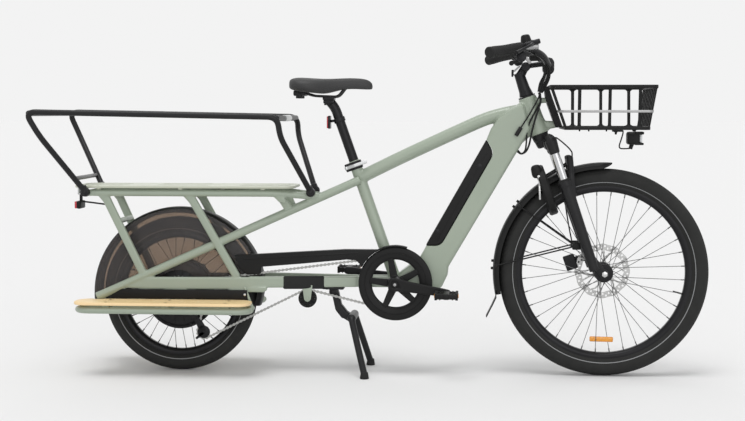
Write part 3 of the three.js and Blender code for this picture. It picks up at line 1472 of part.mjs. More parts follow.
// Kickstand
function addKickstand() {
  const s = stand;
  const pivot = at(s.pivotX, 0, s.pivotZ);
  const cross = at(s.crossX, 0, s.crossZ);
  const legs = sides.flatMap(([, side]) => [
    rod(
      at(s.crossX, side * s.crossHalf, s.crossZ),
      at(s.footX, side * s.footY, s.footHeight / 2),
      s.legTopRadius,
      s.legRadius,
    ),
    rod(
      at(s.footX, side * s.footY, 0),
      at(s.footX, side * s.footY, s.footHeight),
      s.footRadius,
      s.legRadius,
      tubeSides,
    ),
  ]);
  addPiece('kickstand', join(
    beam(pivot, cross, s.armDepth, 2 * s.armHalf),
    disc(s.pivotX, s.pivotZ, s.hubRadius, -s.armHalf, s.armHalf),
    disc(s.pivotX, s.pivotZ, s.pin, -s.pinHalf, s.pinHalf),
    disc(
      s.crossX,
      s.crossZ,
      s.crossRadius,
      -s.crossHalf - s.crossRadius / 2,
      s.crossHalf + s.crossRadius / 2,
    ),
    ...legs,
  ), finishes.black);
  const p = standPlate;
  const ears = sides.map(([, side]) => join(
    plate([
      [s.pivotX - p.earRadius, p.bottom], [s.pivotX + p.earRadius, p.bottom], [
        s.pivotX + p.earRadius, s.pivotZ,
      ],
      [s.pivotX - p.earRadius, s.pivotZ],
    ].toReversed(), side * p.earInner, side * p.earOuter),
    disc(s.pivotX, s.pivotZ, p.earRadius, side * p.earInner, side * p.earOuter),
  ));
  const top = block(at(p.rearX, -p.half, p.bottom - touch), at(p.frontX, p.half, p.top));
  const hole = disc(s.pivotX, s.pivotZ, s.pin + 2 * touch, -p.half, p.half);
  const armRoom = disc(
    s.pivotX,
    s.pivotZ,
    s.hubRadius + 2 * touch,
    -s.armHalf - touch,
    s.armHalf + touch,
    hubSides,
  );
  addPiece('kickstand_bracket', cut(join(top, ...ears), hole, armRoom), finishes.black);
}

// Fork, in the steering group
function addFork() {
  const c = crown;
  const body = block(at(c.back, -c.half, c.low), at(c.front, c.half, c.high));
  const race = rod(at(0, 0, c.high - overrun), at(0, 0, c.raceHigh), c.raceRadius, c.raceRadius, headSides);
  const steerer = rod(at(0, 0, c.high), at(0, 0, c.steererHigh), c.steerer, c.steerer, forkSides);
  const tubes = sides.map(
    ([, side]) => rod(
      at(stanchion.forward, side * stanchion.y, stanchion.low),
      at(stanchion.forward, side * stanchion.y, c.low + overrun),
      stanchion.radius,
      stanchion.radius,
      forkSides,
    ),
  );
  addPiece('fork_crown', join(body, race, steerer, ...tubes), finishes.black, steeringGroup);

  const legs = sides.map(([, side]) => legSolid(side, 0));
  const bores = sides.map(
    ([, side]) => rod(
      at(stanchion.forward, side * stanchion.y, leg.boreLow),
      at(stanchion.forward, side * stanchion.y, leg.boreHigh),
      stanchion.radius + stanchion.gap,
      stanchion.radius + stanchion.gap,
      forkSides,
    ),
  );
  const lugs = sides.map(([, side]) => join(
    disc(forkOffset, 0, leg.lugHalf, side * leg.lugInner, side * leg.lugOuter, collarSides),
    beam(
      at(forkOffset, side * (leg.lugInner + leg.lugOuter) / 2, 0),
      at(stanchion.forward, side * (leg.lugInner + leg.lugOuter) / 2, leg.bottom + leg.lowRadius),
      2 * leg.lugHalf,
      leg.lugOuter - leg.lugInner,
    ),
  ));
  const axleHoles = disc(
    forkOffset,
    0,
    frontAxle.radius + touch,
    -leg.lugOuter - overrun,
    leg.lugOuter + overrun,
  );
  addPiece(
    'fork_lowers',
    cut(join(...legs, ...lugs, archPipe(0)), ...bores, axleHoles),
    finishes.black,
    steeringGroup,
  );

  const heads = sides.map(
    ([, side]) => disc(
      forkOffset,
      0,
      frontAxle.headRadius,
      side * (leg.lugOuter + touch),
      side * (leg.lugOuter + touch + frontAxle.headThick),
    ),
  );
  addPiece(
    'front_axle',
    join(disc(forkOffset, 0, frontAxle.radius, -frontAxle.half, frontAxle.half), ...heads),
    finishes.steel,
    steeringGroup,
  );
}

function archPipe(grow) {
  return pipe(rounded([
    at(stanchion.forward, -stanchion.y, arch.rootS), at(arch.forward, -arch.cornerY, arch.s),
    at(arch.forward, arch.cornerY, arch.s), at(stanchion.forward, stanchion.y, arch.rootS),
  ], arch.bend, 2), arch.radius + grow);
}

// Ring lock: an open ring across the wheel, whose bolt turns about the ring's own centre
function ringPoint(radius, degrees, forward = lock.forward) {
  const [y, s] = round(radius, degrees);
  return at(forward, y, lock.s + s);
}

function ringSection(inner, outer, from, to, steps) {
  const outline = [];
  for (let i = 0; i <= steps; i += 1) outline.push(round(outer, from + (to - from) * i / steps));
  for (let i = steps; i >= 0; i -= 1) outline.push(round(inner, from + (to - from) * i / steps));
  const shape = new THREE.Shape(outline.map(([y, s]) => new THREE.Vector2(y, s)));
  const geometry = new THREE.ExtrudeGeometry(shape, { depth: lock.thick, bevelEnabled: false });
  geometry.applyMatrix4(new THREE.Matrix4().makeBasis(at(0, 1, 0), at(0, 0, 1), at(1, 0, 0)));
  geometry.translate(lock.forward - lock.thick / 2, 0, lock.s);
  return solidOf(geometry);
}

function ringArc(radius, tubeRadius, from, to, steps, facets) {
  const samples = Array.from(
    { length: steps + 1 },
    (_, i) => ringPoint(radius, from + (to - from) * i / steps),
  );
  return pipe(samples, tubeRadius, facets);
}

function addLock() {
  const l = lock;
  const end = straightDownAngle - l.openHalf;
  const start = straightDownAngle + l.openHalf - fullTurnAngle;
  const housing = ringSection(l.inner, l.outer, start, end, lockSteps);
  const channel = ringArc(
    l.bolt,
    l.boltRadius + l.boltGap,
    l.channelStart,
    end + channelLeadAngle,
    channelSteps,
    rodSides,
  );
  const socket = ringArc(
    l.bolt,
    l.boltRadius + l.boltGap,
    start - channelLeadAngle,
    l.socketEnd - fullTurnAngle,
    socketSteps,
    rodSides,
  );
  const rods = sides.map(([, side]) => rod(
    at(l.forward, side * l.rodY, l.rodS),
    at(arch.forward - arch.radius / 2, side * l.rodY, arch.s - l.rodDrop),
    l.rodRadius,
  ));
  addPiece(
    'ring_lock',
    cut(join(housing, ...rods), channel, socket, archPipe(touch)),
    finishes.black,
    steeringGroup,
  );
  addPiece(
    'lock_bolt',
    ringArc(l.bolt, l.boltRadius, l.boltStart, l.boltEnd, boltSteps, rodSides),
    finishes.steel,
    steeringGroup,
  );
}

function addCalipers() {
  const c = caliper;
  const front = cut(
    block(
      at(c.frontF - c.width / 2, c.inner, c.frontS - c.height / 2),
      at(c.frontF + c.width / 2, c.outer, c.frontS + c.height / 2),
    ),
    disc(
      forkOffset,
      0,
      rotor.radius + 2 * c.slot,
      rotor.frontAt - rotor.thick / 2 - c.slot,
      rotor.frontAt + rotor.thick / 2 + c.slot,
      frontWheelSteps,
    ),
  );
  const arm = block(
    at(c.frontF, c.outer - overrun, c.frontS - c.height / 4),
    at(stanchion.forward, c.armOuter, c.frontS + c.height / 4),
  );
  const legRoom = legSolid(1, touch);
  addPiece('front_caliper', cut(join(front, arm), legRoom), finishes.black, steeringGroup);
  const rear = cut(
    block(
      at(c.rearX - c.rearWidth / 2, c.rearInner, c.rearZ - c.rearHeight / 2),
      at(c.rearX + c.rearWidth / 2, c.rearOuter, c.rearZ + c.rearHeight / 2),
    ),
    disc(
      0,
      rearTyreRadius,
      rotor.radius + 2 * c.slot,
      rotor.rearAt - rotor.thick / 2 - c.slot,
      rotor.rearAt + rotor.thick / 2 + c.slot,
      frontWheelSteps,
    ),
  );
  addPiece('rear_caliper', rear, finishes.black);
}

// Stem, handlebar and controls, in the steering group
const barRoute = (side) => {
  const h = handlebar;
  return [
    at(barClamp.forward, 0, barClamp.s), at(barClamp.forward, side * h.clampHalf, barClamp.s),
    at(h.riseF, side * h.riseY, h.riseS), at(h.gripF, side * h.gripY, h.gripS),
    at(h.endF, side * h.endY, h.endS),
  ];
};

const barPoint = (side, share) => {
  const [inner, end] = barRoute(side).slice(-2);
  return inner.clone().lerp(end, share);
};

function addStem() {
  const c = column;
  const shaft = rod(at(0, 0, c.low), at(0, 0, c.high), c.lowRadius, c.highRadius, forkSides);
  const neck = rod(
    at(0, 0, c.high - c.highRadius),
    at(stemHead.forward, 0, stemHead.s),
    c.highRadius,
    stemHead.radius,
    forkSides,
  );
  const head = disc(
    stemHead.forward,
    stemHead.s,
    stemHead.radius,
    -stemHead.half,
    stemHead.half,
    forkSides,
  );
  const arm = rod(
    at(stemHead.forward, 0, stemHead.s),
    at(barClamp.forward, 0, barClamp.s),
    barClamp.armRadius,
    barClamp.armRadius,
    rodSides,
  );
  const clampRing = disc(
    barClamp.forward,
    barClamp.s,
    barClamp.radius,
    -barClamp.half,
    barClamp.half,
    collarSides,
  );
  const barRoom = disc(
    barClamp.forward,
    barClamp.s,
    handlebar.clampRadius + touch,
    -barClamp.half - overrun,
    barClamp.half + overrun,
    collarSides,
  );
  const steererRoom = rod(
    at(0, 0, c.low - overrun),
    at(0, 0, crown.steererHigh + touch),
    c.bore,
    c.bore,
    forkSides,
  );
  addPiece(
    'stem',
    cut(join(shaft, neck, head, arm, clampRing), barRoom, steererRoom),
    finishes.black,
    steeringGroup,
  );
}

function addHandlebar() {
  const h = handlebar;
  const halves = sides.map(([, side]) => pipe(rounded(barRoute(side), h.bend, 2), h.radius));
  const middle = disc(barClamp.forward, barClamp.s, h.clampRadius, -h.clampHalf, h.clampHalf, collarSides);
  addPiece('handlebar', join(...halves, middle), finishes.black, steeringGroup);
}

function addGripsAndControls() {
  const c = control;
  const b = brakeLever;
  sides.forEach(([name, side]) => {
    const run = barPoint(side, 1).sub(barPoint(side, 0)).normalize();
    const along = (point, distance) => point.clone().addScaledVector(run, distance);
    const gripStart = barPoint(side, gripStartShare);
    const gripEnd = barPoint(side, 1);
    const outer = rod(gripStart, along(gripEnd, grip.cap + touch), grip.radius, grip.radius, gripSides);
    const bore = rod(along(gripStart, -overrun), along(gripEnd, touch), grip.bore, grip.bore, gripSides);
    addPiece(`${name}_grip`, cut(outer, bore), finishes.rubber, steeringGroup);

    const centre = along(gripStart, -c.collarWidth / 2 - touch);
    const from = (forward, outward, up) => centre.clone().add(at(forward, side * outward, up));
    const collarRing = rod(
      along(centre, -c.collarWidth / 2),
      along(centre, c.collarWidth / 2),
      c.collarRadius,
      c.collarRadius,
      gripSides,
    );
    const masterStart = from(c.collarRadius, c.masterOut, c.masterUp);
    const masterEnd = from(c.collarRadius + c.masterLength, c.masterOut / 2, 0);
    const master = rod(masterStart, masterEnd, c.masterRadius, c.masterRadius, rodSides);
    const bridge = beam(
      centre,
      masterEnd.clone().lerp(masterStart, bridgeShare),
      c.masterRadius,
      c.collarWidth / 2,
    );
    const pod = rod(
      from(c.podForward, c.podOuter, -c.podDrop),
      from(c.podForward, c.podInner, -c.podDrop),
      c.podRadius,
      c.podRadius,
      rodSides,
    );
    const podArm = rod(
      from(0, -c.podArm, 0),
      from(c.podForward, -c.podArm, -c.podDrop),
      c.podArm,
      c.podArm,
      wireSides,
    );
    const barRoom = join(
      rod(along(centre, -2 * c.collarWidth), along(centre, 2 * c.collarWidth), c.bore, c.bore, gripSides),
      rod(barPoint(side, 0), barRoute(side)[2], c.bore, c.bore, gripSides),
    );
    addPiece(
      `${name}_control`,
      cut(join(collarRing, master, bridge, pod, podArm), barRoom),
      finishes.black,
      steeringGroup,
    );

    const pivot = from(
      c.collarRadius + c.masterLength / 2,
      c.masterOut + c.masterRadius + b.pivotRadius,
      0,
    );
    const tip = along(gripStart, b.reach).add(at(b.tipForward + c.collarRadius, 0, -b.tipDrop));
    addPiece(`${name}_brake_lever`, join(
      beam(pivot, tip, b.width, b.thick),
      rod(
        pivot.clone().add(at(0, 0, -b.width / 2)),
        pivot.clone().add(at(0, 0, b.width / 2)),
        b.pivotRadius,
        b.pivotRadius,
        rodSides,
      ),
    ), finishes.black, steeringGroup);
  });
}

// Cables, held along their routes
const bundlePoints = [
  [bundle.startF, bundle.startY, bundle.startS],
  [bundle.turnF, bundle.turnY, bundle.turnS],
  [bundle.fallF, bundle.fallY, bundle.fallS],
  [bundle.lowF, bundle.lowY, bundle.lowS],
  [bundle.nearF, bundle.nearY, bundle.nearS],
  [bundle.endF, bundle.endY, bundle.endS],
];
const framePoints = [
  [harness.startF, harness.startY, harness.startS],
  [harness.bendF, harness.bendY, harness.bendS],
  [harness.sideF, harness.sideY, harness.sideS],
  [harness.highF, harness.outerY, harness.highS],
  [harness.lowF, harness.outerY, harness.lowS],
  [harness.endF, harness.outerY, harness.endS],
];

function addCables() {
  const route = (points) => new THREE.CatmullRomCurve3(
    points.map(([f, y, s]) => at(f, y, s)),
  ).getPoints(cableSteps);
  addPiece(
    'handlebar_cables',
    pipe(route(bundlePoints), bundle.radius, wireSides),
    finishes.rubber,
    steeringGroup,
  );
  addPiece(
    'frame_cables',
    pipe(route(framePoints), harness.radius, wireSides),
    finishes.rubber,
    steeringGroup,
  );
}

// Basket, headlight and tail light
function basketRearX(z) {
  const share = (z - basket.lowZ) / (basket.topZ - basket.lowZ);
  return basket.lowRearX + share * (basket.topRearX - basket.lowRearX);
}

function basketFrontX(z) {
  const share = (z - basket.lowZ) / (basket.topZ - basket.lowZ);
  return basket.lowFrontX + share * (basket.topFrontX - basket.lowFrontX);
}

function basketHalf(z) {
  const share = (z - basket.lowZ) / (basket.topZ - basket.lowZ);
  return basket.lowHalf + share * (basket.topHalf - basket.lowHalf);
}

function basketPlate(grow) {
  const b = basket;
  return plate([
    [basketRearX(b.topZ) - b.plateThick - grow, b.topZ + grow], [
      basketRearX(b.topZ) + b.slatThick, b.topZ + grow,
    ],
    [basketRearX(b.lowZ) + b.slatThick, b.lowZ - grow], [
      basketRearX(b.lowZ) - b.plateThick - grow, b.lowZ - grow,
    ],
  ], -b.plateHalf - grow, b.plateHalf + grow);
}

function addBasket() {
  const b = basket;
  const hoop = (z, width, rise) => {
    const x1 = basketRearX(z);
    const x2 = basketFrontX(z);
    const y = basketHalf(z);
    const low = z - rise / 2;
    const inner = block(
      at(x1 + width, -y + width, low - overrun),
      at(x2 - width, y - width, low + rise + overrun),
    );
    return cut(block(at(x1, -y, low), at(x2, y, low + rise)), inner);
  };
  const slat = (share, side) => {
    const top = at(
      b.topRearX + share * (b.topFrontX - b.topRearX),
      side * (b.topHalf - b.slatThick),
      b.topZ,
    );
    const low = at(
      b.lowRearX + share * (b.lowFrontX - b.lowRearX),
      side * (b.lowHalf - b.slatThick),
      b.lowZ,
    );
    return beam(low, top, b.slatWidth, b.slatThick);
  };
  const sideShares = Array.from(
    { length: b.sideSlatCount },
    (_, i) => (i + slatLeadShare) / (b.sideSlatCount + slatTailShare),
  );
  const sideSlats = sides.flatMap(([, side]) => sideShares.map((share) => slat(share, side)));
  const wallSlat = (topX, lowX, lean1, share) => {
    const y = (2 * share - 1);
    return beam(
      at(lowX + lean1 * b.slatThick, y * (b.lowHalf - b.slatWidth), b.lowZ),
      at(topX + lean1 * b.slatThick, y * (b.topHalf - b.slatWidth), b.topZ),
      b.slatThick,
      b.slatWidth,
    );
  };
  const frontSlats = Array.from(
    { length: b.frontSlatCount },
    (_, i) => wallSlat(b.topFrontX, b.lowFrontX, -1, i / (b.frontSlatCount - 1)),
  );
  const rearSlats = rearSlatShares.map((share) => wallSlat(b.topRearX, b.lowRearX, 1, share));
  const floorBars = Array.from({ length: b.floorBarCount }, (_, i) => {
    const y = (2 * (i + 1) / (b.floorBarCount + 1) - 1) * b.lowHalf;
    return block(
      at(b.lowRearX + b.slatThick, y - b.slatWidth / 2, b.lowZ - b.rimRise / 2),
      at(b.lowFrontX - b.slatThick, y + b.slatWidth / 2, b.lowZ),
    );
  });
  const mount = headlight;
  const lightPost = block(
    at(mount.x - mount.post, -mount.post, mount.z + mount.height / 2 + touch),
    at(mount.x + mount.post, mount.post, b.lowZ),
  );
  addPiece('basket', join(
    hoop(b.topZ, b.rimWidth, b.rimRise),
    hoop(b.lowZ, b.rimWidth, b.rimRise),
    hoop(b.hoopZ, b.hoopWidth, b.hoopWidth),
    ...sideSlats,
    ...frontSlats,
    ...rearSlats,
    ...floorBars,
    basketPlate(0),
    lightPost,
  ), finishes.black);
}

function addLights() {
  const h = headlight;
  const lampShape = [
    [h.x - h.length / 2, h.z - h.height / 2 + h.neck], [h.x - h.length / 2, h.z + h.height / 2],
    [h.x + h.length / 2, h.z + h.height / 2], [h.x + h.length / 2 - h.neck, h.z + h.height / 4],
    [h.x + h.length / 2 - h.neck, h.z - h.height / 4], [h.x + h.length / 2, h.z - h.height / 2 + h.neck],
    [h.x, h.z - h.height / 2],
  ];
  addPiece('headlight', plate(lampShape, -h.width / 2, h.width / 2), finishes.black);
  const t = tailLight;
  const body = block(
    at(t.x - t.length / 2, -t.width / 2, t.z - t.height / 2),
    at(t.x + t.length / 2, t.width / 2, t.z + t.height / 2),
  );
  const hookX = rail.rearX + rail.radius;
  const hook = rod(
    at(t.x, 0, t.z),
    at(hookX, 0, rail.z - crossTube.radius),
    t.armRadius,
    t.armRadius,
    rodSides,
  );
  const crossRoom = rod(at(hookX, -t.width, rail.z), at(hookX, t.width, rail.z), crossTube.radius + touch);
  addPiece('tail_light', cut(join(body, hook), crossRoom), finishes.lens);
}

addMainFrame();
addRearFrame();
addDeck();
addMonkeyBars();
addBoards();
addFenders();
addSkirtGuards();
addChainCase();
addChain();
addDerailleur();
addIdler();
addFrontWheel();
addRearWheel();
addCranks();
addPedals();
addSeat();
addSeatClamp();
addKickstand();
addFork();
addLock();
addCalipers();
addStem();
addHandlebar();
addGripsAndControls();
addCables();
addBasket();
addLights();

bike.updateMatrixWorld(true);
const bounds = new THREE.Box3().setFromObject(bike, true);
const middle = bounds.getCenter(at(0, 0, 0));
const standing = new THREE.Group();
standing.position.set(-middle.x, -middle.y, -bounds.min.z);
standing.add(bike);

export default standing;
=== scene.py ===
"""The looks of a longtail cargo bicycle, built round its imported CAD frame.

Places are in millimetres from the rear axle and the ground, and at() turns them into the frame's metres.
"""

import bpy
import math
from mathutils import Matrix, Vector


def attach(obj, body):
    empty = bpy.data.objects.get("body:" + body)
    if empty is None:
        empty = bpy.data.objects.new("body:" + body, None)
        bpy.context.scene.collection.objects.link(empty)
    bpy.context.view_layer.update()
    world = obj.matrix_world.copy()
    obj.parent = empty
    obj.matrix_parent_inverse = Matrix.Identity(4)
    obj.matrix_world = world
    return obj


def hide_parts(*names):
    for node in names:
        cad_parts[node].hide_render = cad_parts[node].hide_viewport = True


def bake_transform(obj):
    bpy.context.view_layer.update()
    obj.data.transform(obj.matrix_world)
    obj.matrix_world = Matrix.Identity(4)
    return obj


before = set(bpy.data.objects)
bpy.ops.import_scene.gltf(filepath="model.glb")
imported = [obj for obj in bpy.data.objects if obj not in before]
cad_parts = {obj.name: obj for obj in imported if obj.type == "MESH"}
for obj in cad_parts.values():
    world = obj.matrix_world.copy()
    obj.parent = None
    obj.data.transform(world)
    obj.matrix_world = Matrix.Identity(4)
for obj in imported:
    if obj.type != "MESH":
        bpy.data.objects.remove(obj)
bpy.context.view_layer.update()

REAR_AXLE_X = -0.6422325
LEAN = math.radians(19)
FRONT = (1390, 337)
REAR = (0, 256)
CRANK = (718, 300)
IDLER = (430, 248)
GUIDE = (55, 190)
TENSION = (86, 134)
SEAT_TUBE_TOP = (578, 697)
STAND_PIVOT = (512, 267)
CRANK_DROP = math.radians(8.9)
CRANK_LENGTH = 170
CHAIN_LINE = 45
BOTH = (-1, 1)
SIDES = tuple(zip(("right", "left"), BOTH))


def at(x, y, z):
    return Vector((x / 1000 + REAR_AXLE_X, y / 1000, z / 1000))


def around(centre, radius, degrees):
    """The x and z of a point round an axle; degrees run from straight ahead up over the top."""
    a = math.radians(degrees)
    return centre[0] + radius * math.cos(a), centre[1] + radius * math.sin(a)


def across(point, y):
    """The place of an x and z at a distance to the left of the middle."""
    return at(point[0], y, point[1])


def steered(forward, y, along):
    """A place by the steering axis: forward of it, sideways, and up along it from the front axle's height."""
    foot_x = FRONT[0] - 52 * math.cos(LEAN)
    foot_z = FRONT[1] - 52 * math.sin(LEAN)
    return at(
        foot_x + forward * math.cos(LEAN) - along * math.sin(LEAN),
        y,
        foot_z + forward * math.sin(LEAN) + along * math.cos(LEAN),
    )


def cranked(forward, y, up):
    """A place on the cranks: along the right crank, sideways and across it."""
    cos, sin = math.cos(CRANK_DROP), math.sin(CRANK_DROP)
    return at(CRANK[0] + forward * cos + up * sin, y, CRANK[1] - forward * sin + up * cos)


# Camera, lamps and floor


def placed(spot, right, up, back):
    """The matrix of a thing at a spot, with its own three directions."""
    return Matrix.Translation(spot) @ Matrix((right, up, back)).transposed().to_4x4()


def set_camera():
    camera = bpy.data.objects.new("camera", bpy.data.cameras.new("camera"))
    bpy.context.collection.objects.link(camera)
    ahead = Vector((-0.07886, 0.99447, -0.06945))
    right = Vector((0.99687, 0.07905, 0))
    up = right.cross(ahead)
    camera.matrix_world = placed((0.3628, -4.614, 0.856), right, up, -ahead)
    camera.data.sensor_width = 36
    camera.data.lens = 68.4
    camera.data.clip_end = 400
    bpy.context.scene.camera = camera


def add_lamp(name, direction, strength, width):
    lamp = bpy.data.objects.new(name, bpy.data.lights.new(name, "SUN"))
    bpy.context.collection.objects.link(lamp)
    lamp.data.energy = strength
    lamp.data.angle = math.radians(width)
    lamp.rotation_euler = Vector(direction).to_track_quat("-Z", "Y").to_euler()


class Value:
    """A number socket that takes part in Python sums."""

    def __init__(self, finish, socket):
        self.finish = finish
        self.socket = socket

    def sum(self, operation, first, second):
        return self.finish.value("Math", {"operation": operation}, first, second)

    def __add__(self, other):
        return self.sum("ADD", self, other)

    def __radd__(self, other):
        return self.sum("ADD", other, self)

    def __sub__(self, other):
        return self.sum("SUBTRACT", self, other)

    def __mul__(self, other):
        return self.sum("MULTIPLY", self, other)

    def __rmul__(self, other):
        return self.sum("MULTIPLY", other, self)

    def __gt__(self, other):
        return self.sum("GREATER_THAN", self, other)

    def __lt__(self, other):
        return self.sum("LESS_THAN", self, other)


def socket_name(word):
    return word.replace("_", " ").title().replace("Ior", "IOR")


class Finish:
    """A material, with its nodes added one by one."""

    def __init__(self, name, **plain):
        self.material = bpy.data.materials.new(name)
        self.material.use_nodes = True
        self.tree = self.material.node_tree
        self.shader = self.tree.nodes["Principled BSDF"]
        for socket, amount in plain.items():
            self.shader.inputs[socket_name(socket)].default_value = amount

    def node(self, kind, settings, *sockets, **named):
        made = self.tree.nodes.new("ShaderNode" + kind)
        for setting, choice in settings.items():
            setattr(made, setting, choice)
        entries = list(enumerate(sockets)) + [(socket_name(key), value) for key, value in named.items()]
        for key, value in entries:
            self.feed(made.inputs[key], value)
        return made

    def feed(self, socket, value):
        if isinstance(value, Value):
            self.tree.links.new(value.socket, socket)
        elif isinstance(value, bpy.types.NodeSocket):
            self.tree.links.new(value, socket)
        else:
            socket.default_value = value

    def value(self, kind, settings, *sockets, output=0, **named):
        return Value(self, self.node(kind, settings, *sockets, **named).outputs[output])

    def place(self):
        return self.node("TexCoord", {}).outputs["Object"]

    def noise(self, scale, detail=2.0, spot=None, rough=0.5):
        return self.value(
            "TexNoise", {}, vector=spot or self.place(), scale=scale, detail=detail, roughness=rough,
        )

    def part(self, axis, spot=None):
        return self.value("SeparateXYZ", {}, spot or self.place(), output="XYZ".index(axis))

    def between(self, mask, first, second):
        """One colour where the mask is 0 and another where it is 1."""
        mix = self.node("Mix", {"data_type": "RGBA"})
        self.feed(mix.inputs[0], mask)
        self.feed(mix.inputs[6], first if not isinstance(first, tuple) else (*first, 1))
        self.feed(mix.inputs[7], second if not isinstance(second, tuple) else (*second, 1))
        return mix.outputs[2]

    def colour(self, source):
        self.feed(self.shader.inputs["Base Color"], source)

    def roughness(self, source):
        self.feed(self.shader.inputs["Roughness"], source)

    def bump(self, height, strength, depth=0.001):
        bump = self.node("Bump", {}, strength=strength, distance=depth, height=height)
        self.feed(self.shader.inputs["Normal"], bump.outputs[0])


def painted_frame():
    f = Finish("sage_paint", coat_weight=0.35, coat_roughness=0.28)
    cloud = f.noise(5, 3)
    f.colour(f.between(cloud, (0.292, 0.348, 0.272), (0.345, 0.395, 0.318)))
    f.roughness(0.3 + cloud * 0.14)
    f.bump(f.noise(420, 2), 0.05, 0.0006)
    return f.material


def sunlit_deck_paint():
    # A paler copy of the frame paint: its lighter colour is a painted highlight for the light falling on the
    # deck's top.
    f = Finish("frame_paint_with_painted_sunlight", coat_weight=0.2, coat_roughness=0.35)
    f.colour(f.between(f.noise(7, 3), (0.47, 0.5, 0.4), (0.56, 0.58, 0.48)))
    f.roughness(0.38 + f.noise(60) * 0.15)
    f.bump(f.noise(700, 2), 0.12, 0.0006)
    return f.material


def black_finish(name, dark, light, rough, grain, strength, metal=0.0, coat=0.0):
    f = Finish(name, metallic=metal, specular_ior_level=0.2, coat_weight=coat, coat_roughness=0.3)
    cloud = f.noise(14, 3)
    f.colour(f.between(cloud, dark, light))
    f.roughness(rough + cloud * 0.12)
    f.bump(f.noise(grain, 3), strength, 0.0005)
    return f.material


def metal_finish(name, dark, light, rough, grain=500, stretch=(1, 1, 1)):
    f = Finish(name, metallic=1)
    spot = f.node("Mapping", {}, vector=f.place(), scale=stretch).outputs[0]
    lines = f.noise(grain, 4, spot)
    f.colour(f.between(lines, dark, light))
    f.roughness(rough + lines * 0.18)
    f.bump(lines, 0.08, 0.0003)
    return f.material


def turned_metal(name, x, z, dark, light, rough):
    """Brushed round a wheel's axle."""
    f = Finish(name, metallic=1)
    rings = f.noise(900, 3, round_place(f, x, z))
    f.colour(f.between(rings, dark, light))
    f.roughness(rough + rings * 0.2)
    f.bump(rings, 0.06, 0.0003)
    return f.material


def round_place(f, x, z):
    """Distance from an axle, laid along X, so that a noise runs in rings."""
    centre = at(x, 0, z)
    radius = distance_from(f, x, z)
    return f.node("CombineXYZ", {}, radius, 0.2 * f.part("Y"), centre.x).outputs[0]


def distance_from(f, x, z):
    centre = at(x, 0, z)
    dx = f.part("X") - centre.x
    dz = f.part("Z") - centre.z
    return f.value("Math", {"operation": "SQRT"}, dx * dx + dz * dz)


def tyre_rubber(name, x, z, stripe):
    """Black rubber with a thin reflective line round each side wall."""
    f = Finish(name, specular_ior_level=0.2)
    radius = distance_from(f, x, z)
    band = (radius > (stripe - 1.2) / 1000) * (radius < (stripe + 1.1) / 1000)
    side = f.value("Math", {"operation": "ABSOLUTE"}, f.part("Y")) > 0.014
    line = band * side
    dust = f.noise(30, 4)
    rubber = f.between(dust, (0.018, 0.0185, 0.018), (0.034, 0.034, 0.033))
    f.colour(f.between(line, rubber, (0.27, 0.275, 0.28)))
    f.roughness(0.74 + dust * 0.16 - line * 0.4)
    ribs = f.value("Math", {"operation": "SINE"}, radius * 3600)
    f.bump(f.noise(900, 2) + ribs * 0.35, 0.12, 0.0006)
    return f.material


def oiled_plywood():
    """Long grain on the faces and thin plies along the edges."""
    f = Finish("oiled_plywood", coat_weight=0.15, coat_roughness=0.35)
    spot = f.node("Mapping", {}, vector=f.place(), scale=(1, 14, 14)).outputs[0]
    grain = f.noise(9, 5, spot, 0.6)
    fine = f.noise(60, 3, spot)
    face = f.between(grain, (0.8, 0.53, 0.25), (0.98, 0.8, 0.45))
    plies = f.value("Math", {"operation": "SINE"}, f.part("Z") * 2100) > 0.1
    edge = f.between(plies, (0.98, 0.8, 0.48), (0.84, 0.56, 0.29))
    normal = f.node("NewGeometry", {}).outputs["Normal"]
    upright = f.value("Math", {"operation": "ABSOLUTE"}, f.part("Z", normal)) < 0.6
    f.colour(f.between(upright, face, edge))
    f.roughness(0.42 + fine * 0.2)
    f.bump(fine + grain * 0.5, 0.12, 0.0005)
    return f.material


def saddle_cover():
    f = Finish("saddle_cover", specular_ior_level=0.45)
    cells = f.value("TexVoronoi", {}, vector=f.place(), scale=520)
    cloud = f.noise(16, 3)
    f.colour(f.between(cloud, (0.018, 0.018, 0.018), (0.034, 0.034, 0.035)))
    f.roughness(0.48 + cloud * 0.14)
    f.bump(cells, 0.2, 0.0006)
    return f.material


def smoked_sheet():
    """A tea-brown see-through plastic with a glossy face."""
    f = Finish("smoked_sheet", base_color=(0.12, 0.12, 0.13, 1), ior=1.45)
    f.roughness(0.16 + f.noise(6, 2) * 0.1)
    tint = f.node("BsdfTransparent", {}, (0.89, 0.81, 0.73, 1))
    mix = f.node("MixShader", {}, 0.3, tint.outputs[0], f.shader.outputs[0])
    output = f.tree.nodes["Material Output"]
    f.feed(output.inputs["Surface"], mix.outputs[0])
    return f.material


def lens_finish(name, dark, light):
    f = Finish(name, coat_weight=0.8, coat_roughness=0.06)
    cells = f.value("TexVoronoi", {}, vector=f.place(), scale=330)
    f.colour(f.between(cells, dark, light))
    f.roughness(0.12 + cells * 0.15)
    f.bump(cells, 0.4, 0.0008)
    return f.material


